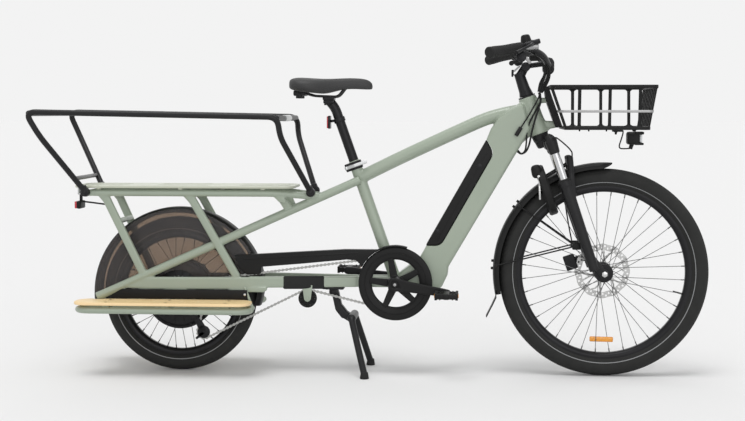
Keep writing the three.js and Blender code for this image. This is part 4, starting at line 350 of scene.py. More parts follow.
PAINT = painted_frame()
SUNLIT_DECK_PAINT = sunlit_deck_paint()
BLACK = black_finish("black_powder_coat", (0.011, 0.011, 0.012), (0.019, 0.019, 0.02), 0.34, 1300, 0.1,
                     coat=0.05)
ALLOY = black_finish("black_anodised_alloy", (0.014, 0.014, 0.015), (0.026, 0.026, 0.028), 0.28, 1700, 0.06,
                     metal=0.45)
PLASTIC = black_finish("moulded_black_plastic", (0.006, 0.006, 0.006), (0.012, 0.012, 0.012), 0.4, 1900, 0.14)
GRIP = black_finish("grip_rubber", (0.014, 0.014, 0.014), (0.028, 0.028, 0.028), 0.66, 1500, 0.2)
STEEL = metal_finish("bright_steel", (0.5, 0.5, 0.5), (0.68, 0.68, 0.67), 0.2)
CHROME = metal_finish("polished_stanchion", (0.5, 0.51, 0.52), (0.62, 0.62, 0.63), 0.07, 300, (1, 1, 0.2))
CHAIN_STEEL = metal_finish("oiled_chain", (0.16, 0.16, 0.155), (0.55, 0.55, 0.53), 0.3)
SPOKE_STEEL = metal_finish("spoke_steel", (0.1, 0.1, 0.1), (0.22, 0.22, 0.22), 0.3)
SILVER = metal_finish("silver_bracket", (0.5, 0.51, 0.51), (0.62, 0.63, 0.63), 0.32)
GREY_WIRE = metal_finish("grey_wire", (0.3, 0.3, 0.3), (0.42, 0.42, 0.42), 0.35)
WOOD = oiled_plywood()
SADDLE = saddle_cover()
SMOKE = smoked_sheet()
RED = lens_finish("red_lens", (0.4, 0.01, 0.02), (0.62, 0.02, 0.04))
AMBER = lens_finish("amber_reflector", (0.75, 0.24, 0.01), (0.95, 0.42, 0.03))
CLEAR = lens_finish("clear_lens", (0.55, 0.57, 0.58), (0.8, 0.82, 0.83))
FRONT_RUBBER = tyre_rubber("front_tyre_rubber", *FRONT, 293)
REAR_RUBBER = tyre_rubber("rear_tyre_rubber", *REAR, 217)
FRONT_DISC = turned_metal("front_disc_steel", *FRONT, (0.36, 0.36, 0.36), (0.56, 0.56, 0.55), 0.22)
REAR_DISC = turned_metal("rear_disc_steel", *REAR, (0.36, 0.36, 0.36), (0.56, 0.56, 0.55), 0.22)


# Modelling

SELECT_ALL = (bpy.ops.mesh.select_all, {"action": "SELECT"})
FACE_OUTWARD = (bpy.ops.mesh.normals_make_consistent, {"inside": False})


def only(piece):
    bpy.ops.object.select_all(action="DESELECT")
    piece.select_set(True)
    bpy.context.view_layer.objects.active = piece
    return piece


def settled(piece, name=None):
    """The piece's object at the origin, with its place in its mesh."""
    only(piece)
    bpy.ops.object.transform_apply(location=True, rotation=True, scale=True)
    if name:
        piece.name = name
    return piece


def shaped(piece, kind, **settings):
    only(piece)
    modifier = piece.modifiers.new(kind.lower(), kind)
    for setting, choice in settings.items():
        setattr(modifier, setting, choice)
    bpy.ops.object.modifier_apply(modifier=modifier.name)
    return piece


def bevelled(piece, width, segments=3, angle=35):
    return shaped(piece, "BEVEL", width=width / 1000, segments=segments, limit_method="ANGLE",
                  angle_limit=math.radians(angle))


def smoothed(piece, degrees=35):
    only(piece)
    bpy.ops.object.shade_smooth_by_angle(angle=math.radians(degrees))
    return piece


def edited(piece, *steps):
    """Runs edit mode operators on all of the piece."""
    only(piece)
    bpy.ops.object.mode_set(mode="EDIT")
    bpy.ops.mesh.select_all(action="SELECT")
    for step, settings in steps:
        step(**settings)
    bpy.ops.object.mode_set(mode="OBJECT")
    return piece


def drawn(name, points, edges=(), faces=()):
    mesh = bpy.data.meshes.new(name)
    mesh.from_pydata(points, edges, faces)
    piece = bpy.data.objects.new(name, mesh)
    bpy.context.collection.objects.link(piece)
    return only(piece)


def rounded(points, bend, steps=6):
    """A route's points, with its corners bent."""
    route = [points[0]]
    for before, corner, after in zip(points, points[1:], points[2:]):
        back, on = before - corner, after - corner
        reach = min(bend / 1000, back.length / 2.1, on.length / 2.1)
        start, end = corner + back.normalized() * reach, corner + on.normalized() * reach
        for k in range(steps + 1):
            t = k / steps
            route.append(start * (1 - t) ** 2 + corner * 2 * t * (1 - t) + end * t * t)
    return route + [points[-1]]


def wire(name, points, radius, sides=16, closed=False, radii=None):
    """A curve of one spline with a round section."""
    curve = bpy.data.curves.new(name, "CURVE")
    curve.dimensions = "3D"
    curve.bevel_depth = radius / 1000
    curve.bevel_resolution = max(0, (sides - 4) // 2)
    curve.use_fill_caps = True
    spline = curve.splines.new("POLY")
    spline.points.add(len(points) - 1)
    for k, (dot, point) in enumerate(zip(spline.points, points)):
        dot.co = (*point, 1)
        dot.radius = radii[k] if radii else 1
    spline.use_cyclic_u = closed
    piece = bpy.data.objects.new(name, curve)
    bpy.context.collection.objects.link(piece)
    return piece


def tube(name, points, radius, sides=16, closed=False, radii=None):
    only(wire(name, points, radius, sides, closed, radii))
    bpy.ops.object.convert(target="MESH")
    return smoothed(bpy.context.object, 50)


def rod(name, start, end, radius, end_radius=None, sides=24, bevel=0):
    reach = end - start
    bpy.ops.mesh.primitive_cone_add(
        vertices=sides, radius1=radius / 1000, radius2=(radius if end_radius is None else end_radius) / 1000,
        depth=reach.length, location=(start + end) / 2, rotation=reach.to_track_quat("Z", "Y").to_euler(),
    )
    piece = settled(bpy.context.object, name)
    if bevel:
        bevelled(piece, bevel, 2)
    return smoothed(piece)


def disc(name, x, z, radius, y1, y2, sides=32, bevel=0):
    return rod(name, at(x, min(y1, y2), z), at(x, max(y1, y2), z), radius, sides=sides, bevel=bevel)


def stud(name, x, y, z1, z2, *shape, **more):
    """An upright rod."""
    return rod(name, at(x, y, z1), at(x, y, z2), *shape, **more)


def block(name, low, high, bevel=1.5):
    size = high - low
    bpy.ops.mesh.primitive_cube_add(size=1, location=(low + high) / 2, scale=[abs(s) for s in size])
    return smoothed(bevelled(settled(bpy.context.object, name), bevel))


def column(name, low, high, *shape, **more):
    """A rod on the steering axis."""
    return rod(name, steered(0, 0, low), steered(0, 0, high), *shape, **more)


def bar(name, start, end, depth, width, bevel=3, end_depth=None):
    """A box along a line: depth across it in the upright plane, width across the bicycle."""
    along = (end - start).normalized()
    side = (Vector((0, 1, 0)) - along * along.y).normalized()
    over = along.cross(side)
    bpy.ops.mesh.primitive_cube_add(size=1)
    piece = bpy.context.object
    turn = placed((start + end) / 2, over, along, side)
    piece.matrix_world = turn @ Matrix.Diagonal((depth / 1000, (end - start).length, width / 1000, 1))
    settled(piece, name)
    if end_depth:
        for vertex in piece.data.vertices:
            if (vertex.co - start).dot(along) > (end - start).length / 2:
                off = (vertex.co - end).dot(over)
                vertex.co += over * off * (end_depth / depth - 1)
    return smoothed(bevelled(piece, bevel))


def extruded(name, points, shift):
    """A flat face through the points, given thickness by a shift."""
    piece = drawn(name, points, faces=[range(len(points))])
    return edited(piece, (bpy.ops.mesh.extrude_region_move, {"TRANSFORM_OT_translate": {"value": shift}}),
                  SELECT_ALL, FACE_OUTWARD)


def softened(piece, bevel, segments):
    return smoothed(bevelled(piece, bevel, segments)) if bevel else piece


def plate(name, outline, y1, y2, bevel=1.0, segments=3):
    """A flat shape in the upright plane, extruded across the bicycle."""
    low, high = min(y1, y2), max(y1, y2)
    piece = extruded(name, [at(x, low, z) for x, z in outline], (0, (high - low) / 1000, 0))
    return softened(piece, bevel, segments)


def slab(name, outline, z1, z2, bevel=1.0, segments=3):
    """A flat shape in the level plane, extruded upwards."""
    piece = extruded(name, [at(x, y, z1) for x, y in outline], (0, 0, (z2 - z1) / 1000))
    return softened(piece, bevel, segments)


def spun(name, section, centre, axis, steps, degrees, sharp=35):
    """A closed section, swept about any axis; a part turn gets its two ends closed."""
    count = len(section)
    piece = drawn(name, section, edges=[(k, (k + 1) % count) for k in range(count)])
    caps = [] if degrees == 360 else [(bpy.ops.mesh.edge_face_add, {})]
    sweep = {"steps": steps, "angle": math.radians(degrees), "center": centre, "axis": axis}
    edited(piece, *caps, (bpy.ops.mesh.spin, sweep), SELECT_ALL,
           (bpy.ops.mesh.remove_doubles, {"threshold": 0.00001}), FACE_OUTWARD)
    if caps:
        closed_ends(piece)
    return smoothed(piece, sharp)


def turned(name, centre, profile, steps=96, start=0, sweep=360, sharp=35):
    """A closed profile of (radius, y), spun round an axle; angles run from straight ahead up over the top."""
    section = [across(around(centre, r, start), y) for r, y in profile]
    return spun(name, section, across(centre, 0), (0, 1, 0), steps, sweep, sharp)


def closed_ends(piece):
    """Fills the open end that a part turn leaves."""
    only(piece)
    bpy.ops.object.mode_set(mode="EDIT")
    bpy.ops.mesh.select_all(action="DESELECT")
    bpy.ops.mesh.select_mode(type="EDGE")
    bpy.ops.mesh.select_non_manifold()
    if piece.data.count_selected_items()[1]:
        bpy.ops.mesh.edge_face_add()
    bpy.ops.mesh.select_mode(type="VERT")
    bpy.ops.mesh.select_all(action="SELECT")
    bpy.ops.mesh.normals_make_consistent(inside=False)
    bpy.ops.object.mode_set(mode="OBJECT")


def joined(name, parts):
    bpy.ops.object.select_all(action="DESELECT")
    for part in parts:
        part.select_set(True)
    bpy.context.view_layer.objects.active = parts[0]
    bpy.ops.object.join()
    piece = bpy.context.object
    piece.name = name
    return piece


def welded(name, parts, voxel=2.2, passes=8, keep=0.45):
    """Parts melted into one skin with soft fillets where they meet."""
    piece = joined(name, parts)
    shaped(piece, "REMESH", mode="VOXEL", voxel_size=voxel / 1000, use_smooth_shade=True)
    shaped(piece, "SMOOTH", factor=0.5, iterations=passes)
    shaped(piece, "DECIMATE", ratio=keep)
    return smoothed(piece, 60)


def carved(piece, cutter):
    """The piece less another, which is used up."""
    shaped(piece, "BOOLEAN", operation="DIFFERENCE", solver="EXACT", object=cutter)
    bpy.data.objects.remove(cutter)
    return piece


def mirrored(piece, name):
    """A copy for the other side of the bicycle."""
    twin = piece.copy()
    twin.data = piece.data.copy()
    twin.name = name
    bpy.context.collection.objects.link(twin)
    twin.scale = (1, -1, 1)
    settled(twin)
    return edited(twin, FACE_OUTWARD)


def copied(piece, matrix):
    twin = piece.copy()
    twin.data = piece.data.copy()
    bpy.context.collection.objects.link(twin)
    twin.data.transform(matrix)
    return twin


def dressed(piece, body, material, slot, *nodes):
    piece.data.materials.clear()
    piece.data.materials.append(material)
    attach(piece, body)
    if nodes:
        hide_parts(*nodes)
    return piece


def assembled(name, parts, *dress):
    return dressed(joined(name, parts), *dress)


set_camera()


# Cables first


def spline_route(points, steps=9):
    """A smooth route through points."""
    route = []
    rows = [points[0]] + list(points) + [points[-1]]
    for a, b, c, d in zip(rows, rows[1:], rows[2:], rows[3:]):
        for k in range(steps):
            t = k / steps
            route.append(0.5 * (2 * b + (c - a) * t + (2 * a - 5 * b + 4 * c - d) * t * t
                                + (3 * b - a - 3 * c + d) * t ** 3))
    return route + [points[-1]]


def steered_route(rows):
    return [steered(*row) for row in rows]


def declare_cord(piece, route, radius, **more):
    length = sum((b - a).length for a, b in zip(route, route[1:]))


def add_cable(name, points, radius, body, replaces=()):
    route = spline_route(points)
    piece = dressed(wire(name, route, radius, 12), body, GRIP, "grip_rubber", *replaces)
    declare_cord(piece, route, radius)
    return piece


def add_cables():
    down = [(56, -150, 742), (74, -100, 724), (86, -52, 694), (80, -30, 664), (62, -20, 640), (44, -14, 619)]
    for name, shift, drop in (("shift_cable", 8, -7), ("right_brake_hose", 3, -2), ("motor_cable", -3, 3)):
        route = [steered(f + shift * share, y, s + drop * share)
                 for (f, y, s), share in zip(down, (0.5, 1, 1, 1, 0.9, 0.5))]
        add_cable(name, route, 3.6, "steering",
                  replaces=["handlebar_cables"] if name == "shift_cable" else ())
    left = [(56, 150, 742), (74, 100, 724), (84, 52, 694), (76, 16, 668), (54, -8, 646), (40, -14, 622)]
    add_cable("left_brake_hose", steered_route(left), 3.4, "steering")
    port = [(44, -14, 619), (32, -27, 602), (12, -35, 583), (-18, -40.4, 557), (-52, -40.4, 530)]
    add_cable("display_cable", steered_route(port), 2.3, "frame", replaces=["frame_cables"])
    sleeve = rod("plug_sleeve", steered(-50, -41.6, 531.6), steered(-74, -41.6, 511.6), 6.6, sides=20,
                 bevel=1.5)
    dressed(sleeve, "frame", GRIP, "grip_rubber")
    loop = [steered(44, -14, 619)] + [at(*row) for row in (
        (1183, -24, 890), (1176, -34, 866), (1163, -38, 824), (1154, -39, 786), (1147, -39, 752),
        (1137, -36, 730), (1122, -30, 722), (1108, -24, 730))]
    add_cable("rear_brake_hose", loop, 3.2, "frame")
    second = [point + Vector((-back / 1000, 0.0065, 0.0006 * back))
              for back, point in zip((0, 4, 11, 14, 9, 3, 0), loop[1:-1])]
    add_cable("gear_cable", [steered(40, -12, 619)] + second + [at(1108, -14, 737)], 2.8, "frame")
    front = [(38, 6, 462), (48, 12, 462), (66, 30, 436), (80, 40, 408), (80, 48, 390), (62, 76, 350),
             (20, 84, 280), (0, 72, 190), (-12, 58, 104)]
    route = spline_route(steered_route(front))
    hose = tube("front_brake_hose", route, 2.3, 12)
    hose.data.materials.append(GRIP)
    steered(75, 56, 406)
    steered(20, 84, 280)
    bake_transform(hose)
    declare_cord(hose, route, 2.3, path=route)
    lamp_wire = [at(x, 0, z) for x, z in (
        (1448, 797), (1448, 786), (1442, 765), (1437, 747), (1441, 739), (1455, 738), (1471, 739))]
    add_cable("headlight_cable", lamp_wire, 2.2, "frame")
    tail = [at(-330, -8, 562), at(-318, -12, 559), at(-290, -26, 557), at(-252, -48, 554.5),
            at(-214, -66, 552)]
    add_cable("tail_light_cable", tail, 2.8, "frame")


# Wheels


def tread_depth(angle, y, pitches):
    """Grooves across the shoulders and two round the middle."""
    step = (angle * pitches / (2 * math.pi) + abs(y) * 0.05) % 1
    shoulder = 1.7 if abs(y) > 12 and step < 0.3 else 0
    centre = 1.2 if abs(y) <= 12 and (step + 0.5) % 1 < 0.16 else 0
    round_grooves = 1.4 if 10 < abs(y) < 13 else 0
    return max(shoulder, centre, round_grooves)


def make_tyre(name, centre, seat, radius, steps, pitches, body, rubber):
    half = 30
    outside = []
    for k in range(45):
        a = math.radians(-118 + 236 * k / 44)
        swell = 1 - 0.04 * abs(math.sin(2 * a))
        outside.append((radius - half + half * math.cos(a) * swell, half * math.sin(a)))
    profile = [(r, y) for r, y in outside if r > seat + 5]
    profile = [(seat + 0.4, -11), (seat + 0.4, -15.5)] + profile + [(seat + 0.4, 15.5), (seat + 0.4, 11)]
    tyre = turned(name, centre, profile, steps, sharp=40)
    middle = at(centre[0], 0, centre[1])
    for vertex in tyre.data.vertices:
        off = vertex.co - middle
        reach = math.hypot(off.x, off.z)
        y = off.y * 1000
        if reach > (radius - 17) / 1000 and abs(y) < 26:
            sink = tread_depth(math.atan2(off.z, off.x), y, pitches) / 1000
            vertex.co -= Vector((off.x, 0, off.z)) / reach * sink
    return dressed(tyre, body, rubber, "tyre_rubber", name.replace("_rubber_tyre", "_tyre"))


def make_spokes(name, centre, hub_radius, hub_spread, rim_radius, lead):
    """36 round spokes, crossing in pairs, with a nipple at each end."""
    spokes = []
    pitch = 10
    for i in range(36):
        side = -1 if i % 2 == 0 else 1
        turn = 1 if i % 4 < 2 else -1
        shift = turn * 1.4
        inner = across(around(centre, hub_radius, pitch * (i + 0.5 + turn * lead)),
                       side * (hub_spread + shift))
        outer = across(around(centre, rim_radius, pitch * (i + 0.5)), side * (3.5 + shift))
        spokes += [rod("spoke", inner, outer, 1.05, sides=8),
                   rod("nipple", outer - (outer - inner).normalized() * 0.012, outer, 2.1, 1.8, sides=10)]
    return joined(name, spokes)


def rim_profile(seat):
    """The closed section of a rim whose bead seats have the radius given; its two sides are alike."""
    half = [(-3, 7), (-1, 12), (4, 14.6), (4, 16.2), (-4, 17), (-9, 16.6), (-14, 12.5), (-17.6, 8), (-18, 4)]
    left = [(seat + r, y) for r, y in half]
    right = [(r, -y) for r, y in left]
    return right[3::-1] + left + right[:3:-1]


def wheel_reflector(name, centre, degrees, radius, y, body):
    middle = around(centre, radius, degrees)
    start, end = [across(around(middle, half, degrees + 90), y) for half in (-38, 38)]
    return dressed(bar(name, start, end, 17, 9, 3.5), body, AMBER, "red_lens")


def make_front_wheel():
    make_tyre("front_rubber_tyre", FRONT, 279.5, 337, 336, 112, "front_wheel", FRONT_RUBBER)
    rim = turned("front_rim", FRONT, rim_profile(279.5), 144)
    hub = turned("front_hub", FRONT, [
        (6.5, -48), (11, -48), (14, -46), (14, -34), (29, -33.5), (30, -32), (30, -28), (29, -26.6),
        (19, -25), (16, -19), (15.4, 0), (16, 19), (19, 25), (29, 26.6), (30, 28), (30, 32), (29, 33.5),
        (22, 34), (22, 37), (14, 37), (14, 48), (6.5, 48)], 64)
    assembled("front_rim_and_hub", [rim, hub], "front_wheel", ALLOY, "alloy", "front_wheel")
    dressed(make_spokes("front_spokes", FRONT, 25, 30, 262, 4), "front_wheel", SPOKE_STEEL, "steel")
    foot, tip = [at(FRONT[0] + reach * 0.966, 0, FRONT[1] - reach * 0.259) for reach in (262, 232)]
    valve = rod("front_valve", foot, tip, 3, 2.4, 12)
    dressed(valve, "front_wheel", BLACK, "alloy")
    make_rotor("front_disc", FRONT, 38, 16, "front_wheel", FRONT_DISC, "front_rotor")
    wheel_reflector("front_spoke_reflector", FRONT, 269, 219, 0, "front_wheel")


def make_rotor(name, centre, y, bore, body, finish, node):
    """A brake disc: a drilled band and curved arms, cut from sheet."""
    steps = 96
    rows = [90, 86.4, 80, 73.6, 70]
    points, faces = [], []
    for row, radius in enumerate(rows):
        for k in range(steps):
            degrees = 360 * k / steps
            wave = 1.4 * math.cos(math.radians(12 * degrees)) if row in (0, 4) else 0
            points.append(across(around(centre, radius - 1.2 + wave, degrees), y))
    for row in range(len(rows) - 1):
        for k in range(steps):
            n = (k + 1) % steps
            if (row in (1, 2)) and (k + row * 2) % 4 == 0:
                continue
            faces.append((row * steps + k, row * steps + n, (row + 1) * steps + n, (row + 1) * steps + k))
    band = drawn("band", points, faces=faces)
    shaped(band, "SOLIDIFY", thickness=0.0019, offset=0)
    arms = []
    for k in range(6):
        for turns in ((0, 9, 16, 20, 22), (26, 25, 24, 24, 25)):
            route = [across(around(centre, r, 60 * k + t), y) for r, t in zip((70, 60, 48, 36, 26), turns)]
            for a, b in zip(route, route[1:]):
                arms.append(bar("arm", a, b + (b - a).normalized() * 0.002, 5.5, 1.8, 0.4))
    hub = turned("disc_hub", centre, [(bore, y - 1), (31, y - 1), (32, y), (31, y + 1), (bore, y + 1)], 64)
    bolts = [disc("bolt", *around(centre, 22, 60 * k), 3.4, y - 3, y + 3, 12, 0.5) for k in range(6)]
    return assembled(name, [band, hub, *arms, *bolts], body, finish, "steel", node)


def make_rear_wheel():
    make_tyre("rear_rubber_tyre", REAR, 203, 256, 288, 86, "rear_wheel", REAR_RUBBER)
    rim = turned("rear_rim", REAR, rim_profile(203), 128)
    motor = turned("motor_shell", REAR, [
        (7.5, -32.6), (14, -32.6), (14, -31), (30, -31), (34, -29.6), (60, -29.4), (63, -28), (98, -27.6),
        (103, -26), (108, -22), (110, -18), (116, -17.4), (117, -16), (117, -13), (114, -12), (114, 12),
        (117, 13), (117, 16), (116, 17.4), (110, 18), (108, 22), (103, 26), (98, 27.6), (64, 28), (60, 30),
        (22, 31), (22, 50.7), (7.5, 50.7)], 120)
    ribs = [bar("rib", across(around(REAR, 40, a), side * 29.4), across(around(REAR, 96, a), side * 27.8),
                4, 3, 0.8)
            for side in BOTH for a in range(0, 360, 20)]
    screws = [disc("screw", *around(REAR, 106, a), 3.2, side * 21, side * 27.5, 10, 0.6)
              for side in BOTH for a in range(10, 360, 40)]
    assembled("rear_rim_and_motor", [rim, motor, *ribs, *screws], "rear_wheel", ALLOY, "alloy", "rear_wheel")
    dressed(make_spokes("rear_spokes", REAR, 112, 15, 186, 0.5), "rear_wheel", SPOKE_STEEL, "steel")
    make_rotor("rear_disc", REAR, 49, 23, "rear_wheel", REAR_DISC, "rear_rotor")
    axle = disc("axle_rod", *REAR, 7, -79.6, 79.6, 24, 1)
    nuts = [disc("axle_nut", *REAR, 12, side * 74.3, side * 79.3, 6, 0.8) for side in BOTH]
    assembled("rear_axle_and_nuts", [axle, *nuts], "frame", STEEL, "steel", "rear_axle")


# Drive


def sprocket(name, centre, teeth, y, tip, root, inner, thick):
    """A toothed ring: tips and roots alternate, with flanks between them."""
    x, z = centre
    outer, middle = [], []
    for tooth in range(teeth):
        for share, radius in ((0, root), (0.28, root), (0.42, tip), (0.6, tip), (0.74, root)):
            a = 2 * math.pi * (tooth + share) / teeth
            outer.append((radius * math.cos(a), radius * math.sin(a)))
            middle.append((inner * math.cos(a), inner * math.sin(a)))
    count = len(outer)
    points = [at(x + px, y, z + pz) for px, pz in outer + middle]
    faces = [(k, (k + 1) % count, (k + 1) % count + count, k + count) for k in range(count)]
    ring = drawn(name, points, faces=faces)
    shaped(ring, "SOLIDIFY", thickness=thick / 1000, offset=0)
    edited(ring, FACE_OUTWARD)
    return smoothed(ring, 30)


WHEELS = [(*CRANK, 89, 1), (*REAR, 36.6, 1), (*GUIDE, 22.5, -1), (*TENSION, 22.5, 1), (*IDLER, 29, -1)]


def tangent_angle(a, b):
    span = math.hypot(b[0] - a[0], b[1] - a[1])
    heading = math.atan2(b[1] - a[1], b[0] - a[0])
    return heading - math.acos((a[3] * a[2] - b[3] * b[2]) / span)


def chain_route():
    """Points along the chain's own line, once round all its wheels."""
    points = []
    for i, wheel in enumerate(WHEELS):
        before, after = WHEELS[i - 1], WHEELS[(i + 1) % len(WHEELS)]
        flip = 0 if wheel[3] > 0 else math.pi
        start, end = tangent_angle(before, wheel) + flip, tangent_angle(wheel, after) + flip
        sweep = math.fmod(end - start, 2 * math.pi)
        if wheel[3] > 0 and sweep < 0:
            sweep += 2 * math.pi
        if wheel[3] < 0 and sweep > 0:
            sweep -= 2 * math.pi
        for k in range(41):
            a = start + sweep * k / 40
            points.append((wheel[0] + wheel[2] * math.cos(a), wheel[1] + wheel[2] * math.sin(a)))
    return points + [points[0]]


def make_chain():
    route = chain_route()
    lengths = [0]
    for a, b in zip(route, route[1:]):
        lengths.append(lengths[-1] + math.hypot(b[0] - a[0], b[1] - a[1]))
    count = round(lengths[-1] / 12.7 / 2) * 2

    def point(distance):
        distance %= lengths[-1]
        k = max(i for i, reached in enumerate(lengths[:-1]) if reached <= distance)
        share = (distance - lengths[k]) / max(1e-6, lengths[k + 1] - lengths[k])
        a, b = route[k], route[k + 1]
        return a[0] + (b[0] - a[0]) * share, a[1] + (b[1] - a[1]) * share

    def side_plate(y, thick):
        outline = []
        for end, start in ((6.35, -110), (-6.35, 70)):
            for step in range(8):
                a = math.radians(start + 31.4 * step)
                outline.append((end + 4.3 * math.cos(a), 4.3 * math.sin(a)))
            outline.append((0, 1.9 if end > 0 else -1.9))
        low = [Vector((px / 1000, (y - thick / 2) / 1000, pz / 1000)) for px, pz in outline]
        piece = drawn("link_plate", low, faces=[range(len(low))])
        shaped(piece, "SOLIDIFY", thickness=thick / 1000, offset=0)
        return piece

    def barrel(x, half, radius):
        bpy.ops.mesh.primitive_cylinder_add(vertices=8, radius=radius / 1000, depth=2 * half / 1000,
                                            location=(x / 1000, 0, 0), rotation=(math.pi / 2, 0, 0))
        return settled(bpy.context.object)

    outer = joined("outer_link", [side_plate(2.9, 0.9), side_plate(-2.9, 0.9), barrel(6.35, 3.7, 1.8),
                                  barrel(-6.35, 3.7, 1.8)])
    inner = joined("inner_link", [side_plate(1.9, 0.9), side_plate(-1.9, 0.9), barrel(6.35, 1.6, 3.8),
                                  barrel(-6.35, 1.6, 3.8)])
    step = lengths[-1] / count
    links = []
    for k in range(count):
        a, b = point(k * step), point((k + 1) * step)
        middle = at((a[0] + b[0]) / 2, -CHAIN_LINE, (a[1] + b[1]) / 2)
        tilt = math.atan2(b[1] - a[1], b[0] - a[0])
        links.append(copied(outer if k % 2 else inner,
                            Matrix.Translation(middle) @ Matrix.Rotation(-tilt, 4, "Y")))
    for link in (outer, inner):
        bpy.data.objects.remove(link)
    chain = joined("roller_chain", links)
    edited(chain, FACE_OUTWARD)
    dressed(smoothed(chain, 40), "frame", CHAIN_STEEL, "steel", "chain")


def make_sprockets():
    ring = sprocket("toothed_chainring", CRANK, 44, -45, 90.5, 84.6, 79, 2.2)
    bridge = turned("ring_web", CRANK, [(77.4, -46), (83, -46), (83, -44), (77.4, -44)], 96)
    assembled("toothed_chainring", [ring, bridge], "crank", BLACK, "steel", "chainring")
    cogs = [sprocket("cog", REAR, teeth, y, tip, tip - 4, 16, 1.8) for teeth, y, tip in (
        (30, -34.4, 62), (26, -37.2, 54), (22, -40, 46), (18, -45, 38.4), (16, -49.6, 31), (13, -52.6, 27),
        (11, -55.2, 23.5))]
    core = turned("cog_core", REAR, [(7.6, -33), (22, -33), (20, -56), (7.6, -56.4)], 48)
    assembled("cogs", [*cogs, core], "cassette", STEEL, "steel", "cassette")
    for body, centre in (("guide_pulley", GUIDE), ("tension_pulley", TENSION)):
        wheel = sprocket("pulley", centre, 11, -45, 20.2, 16, 3, 2.6)
        hub = turned("pulley_hub", centre, [(2.9, -48), (8, -48), (8, -42), (2.9, -42)], 32)
        assembled(f"{body}_wheel", [wheel, hub], body, PLASTIC, "black_plastic", body)
    sides = [turned("cheek", IDLER, [(5, y), (30, y), (30, y + t), (28, y + 1.4 * t), (5, y + 1.4 * t)], 72)
             for y, t in ((-50.3, 1), (-39.7, -1))]
    wheel = sprocket("idler_teeth", IDLER, 14, -45, 27.6, 23, 4.4, 3)
    rings = [disc("hole_rim", *around(IDLER, 20, a), 4, -50.6, -39.4, 14) for a in range(0, 360, 36)]
    cheeks = joined("idler_cheeks", sides)
    cheeks = carved(cheeks, joined("holes", rings))
    assembled("idler_with_teeth", [cheeks, wheel], "idler", PLASTIC, "black_plastic", "idler_wheel")


def make_derailleur():
    plates = []
    for y in (-50.4, -39.6):
        outer = y if y < -45 else y + 2.2
        middle = outer - 1.1
        plates += [bar("cage_side", across(GUIDE, middle), across(TENSION, middle), 17, 2.2, 0.8, 22),
                   disc("cage_round", *GUIDE, 11, outer - 2.2, outer, 32, 0.6),
                   disc("cage_round", *TENSION, 21 if y < -45 else 12, outer - 2.2, outer, 32, 0.6),
                   bar("cage_tail", across(TENSION, middle), at(60, middle, 111), 13, 2.2, 0.8, 7)]
    pins = [disc("cage_bolt", *centre, 3.4, -53.8, -36, 16, 0.5) for centre in (GUIDE, TENSION)]
    assembled("derailleur_cage_plates", plates + pins, "frame", ALLOY, "alloy", "derailleur_cage")
    body = welded("derailleur_arm", [
        disc("hanger", 22, 222, 12, -53.2, -74, 32),
        bar("link", at(22, -60, 222), across(GUIDE, -60), 17, 12, 3),
        disc("knuckle", *GUIDE, 13, -53.2, -67, 32),
        bar("nose", at(30, -64, 210), at(12, -70, 190), 14, 10, 3, 8)], 1.2, 4, 0.5)
    dressed(body, "frame", ALLOY, "alloy", "derailleur_body")


def make_cranks():
    groove = [(84, -59.6), (88, -61), (112, -61), (117, -60), (120, -57.4), (120, -53), (117, -50),
              (112, -50), (110, -52.4), (90, -52.4), (88, -50), (81, -50), (79.7, -52), (79.7, -57)]
    ring = turned("guard_band", CRANK, groove, 128)
    lips = turned("guard_lip", CRANK, [(98, -60.4), (99.2, -62.2), (101, -62.2), (102.2, -60.4)], 128)

    def spider(radius, degrees, y):
        forward, up = around((0, 0), radius, degrees)
        return cranked(forward, y, up)
    spots = range(38, 360, 72)
    arms = [bar("spider_arm", spider(84, a, -56.5), spider(14, a, -56.5), 19, 7.5, 2.5, 27) for a in spots]
    bolts = [rod("ring_bolt", spider(79.5, a, -61.4), spider(79.5, a, -43.6), 4.2, sides=16, bevel=0.6)
             for a in spots]
    arm = crank_arm(-1)
    boss = rod("spider_boss", cranked(0, -86, 0), cranked(0, -52, 0), 22, 27, 48, 2)
    right = joined("right_crank_and_guard",
                   [welded("right_arm", [arm, boss, *arms], 1.6, 6, 0.5), ring, lips, *bolts])
    right = edited(carved(right, disc("spindle_room", *CRANK, 12, -91, -44, 32)), FACE_OUTWARD)
    right = joined("right_crank_and_guard", [right, rod("washer", cranked(0, -88.4, 0), cranked(0, -84.5, 0),
                                                        11.6, sides=32, bevel=0.8)])
    dressed(right, "crank", PLASTIC, "alloy", "right_crank")
    cap = rod("crank_bolt", cranked(0, -89.5, 0), cranked(0, -84, 0), 5.6, 5, 6, 0.6)
    dressed(cap, "crank", GREY_WIRE, "steel")
    spindle = disc("spindle", *CRANK, 11.6, -84, 88, 32, 1)
    left = joined("left_crank_and_spindle", [welded("left_arm", [crank_arm(1)], 1.6, 5, 0.5), spindle])
    dressed(left, "crank", ALLOY, "alloy", "left_crank")


def crank_arm(side):
    near, far = side * 78, side * 90
    sign = -side
    stations = [(-20, 17), (-14, 21), (0, 22), (20, 19.5), (60, 17), (120, 14.6), (160, 13.6), (176, 12),
                (183, 7)]
    outline = [(sign * x, h) for x, h in stations] + [(sign * x, -h) for x, h in reversed(stations)]
    points = [cranked(x, min(near, far), z) for x, z in outline]
    return bevelled(extruded("crank_blade", points, (0, abs(far - near) / 1000, 0)), 3.2, 4)


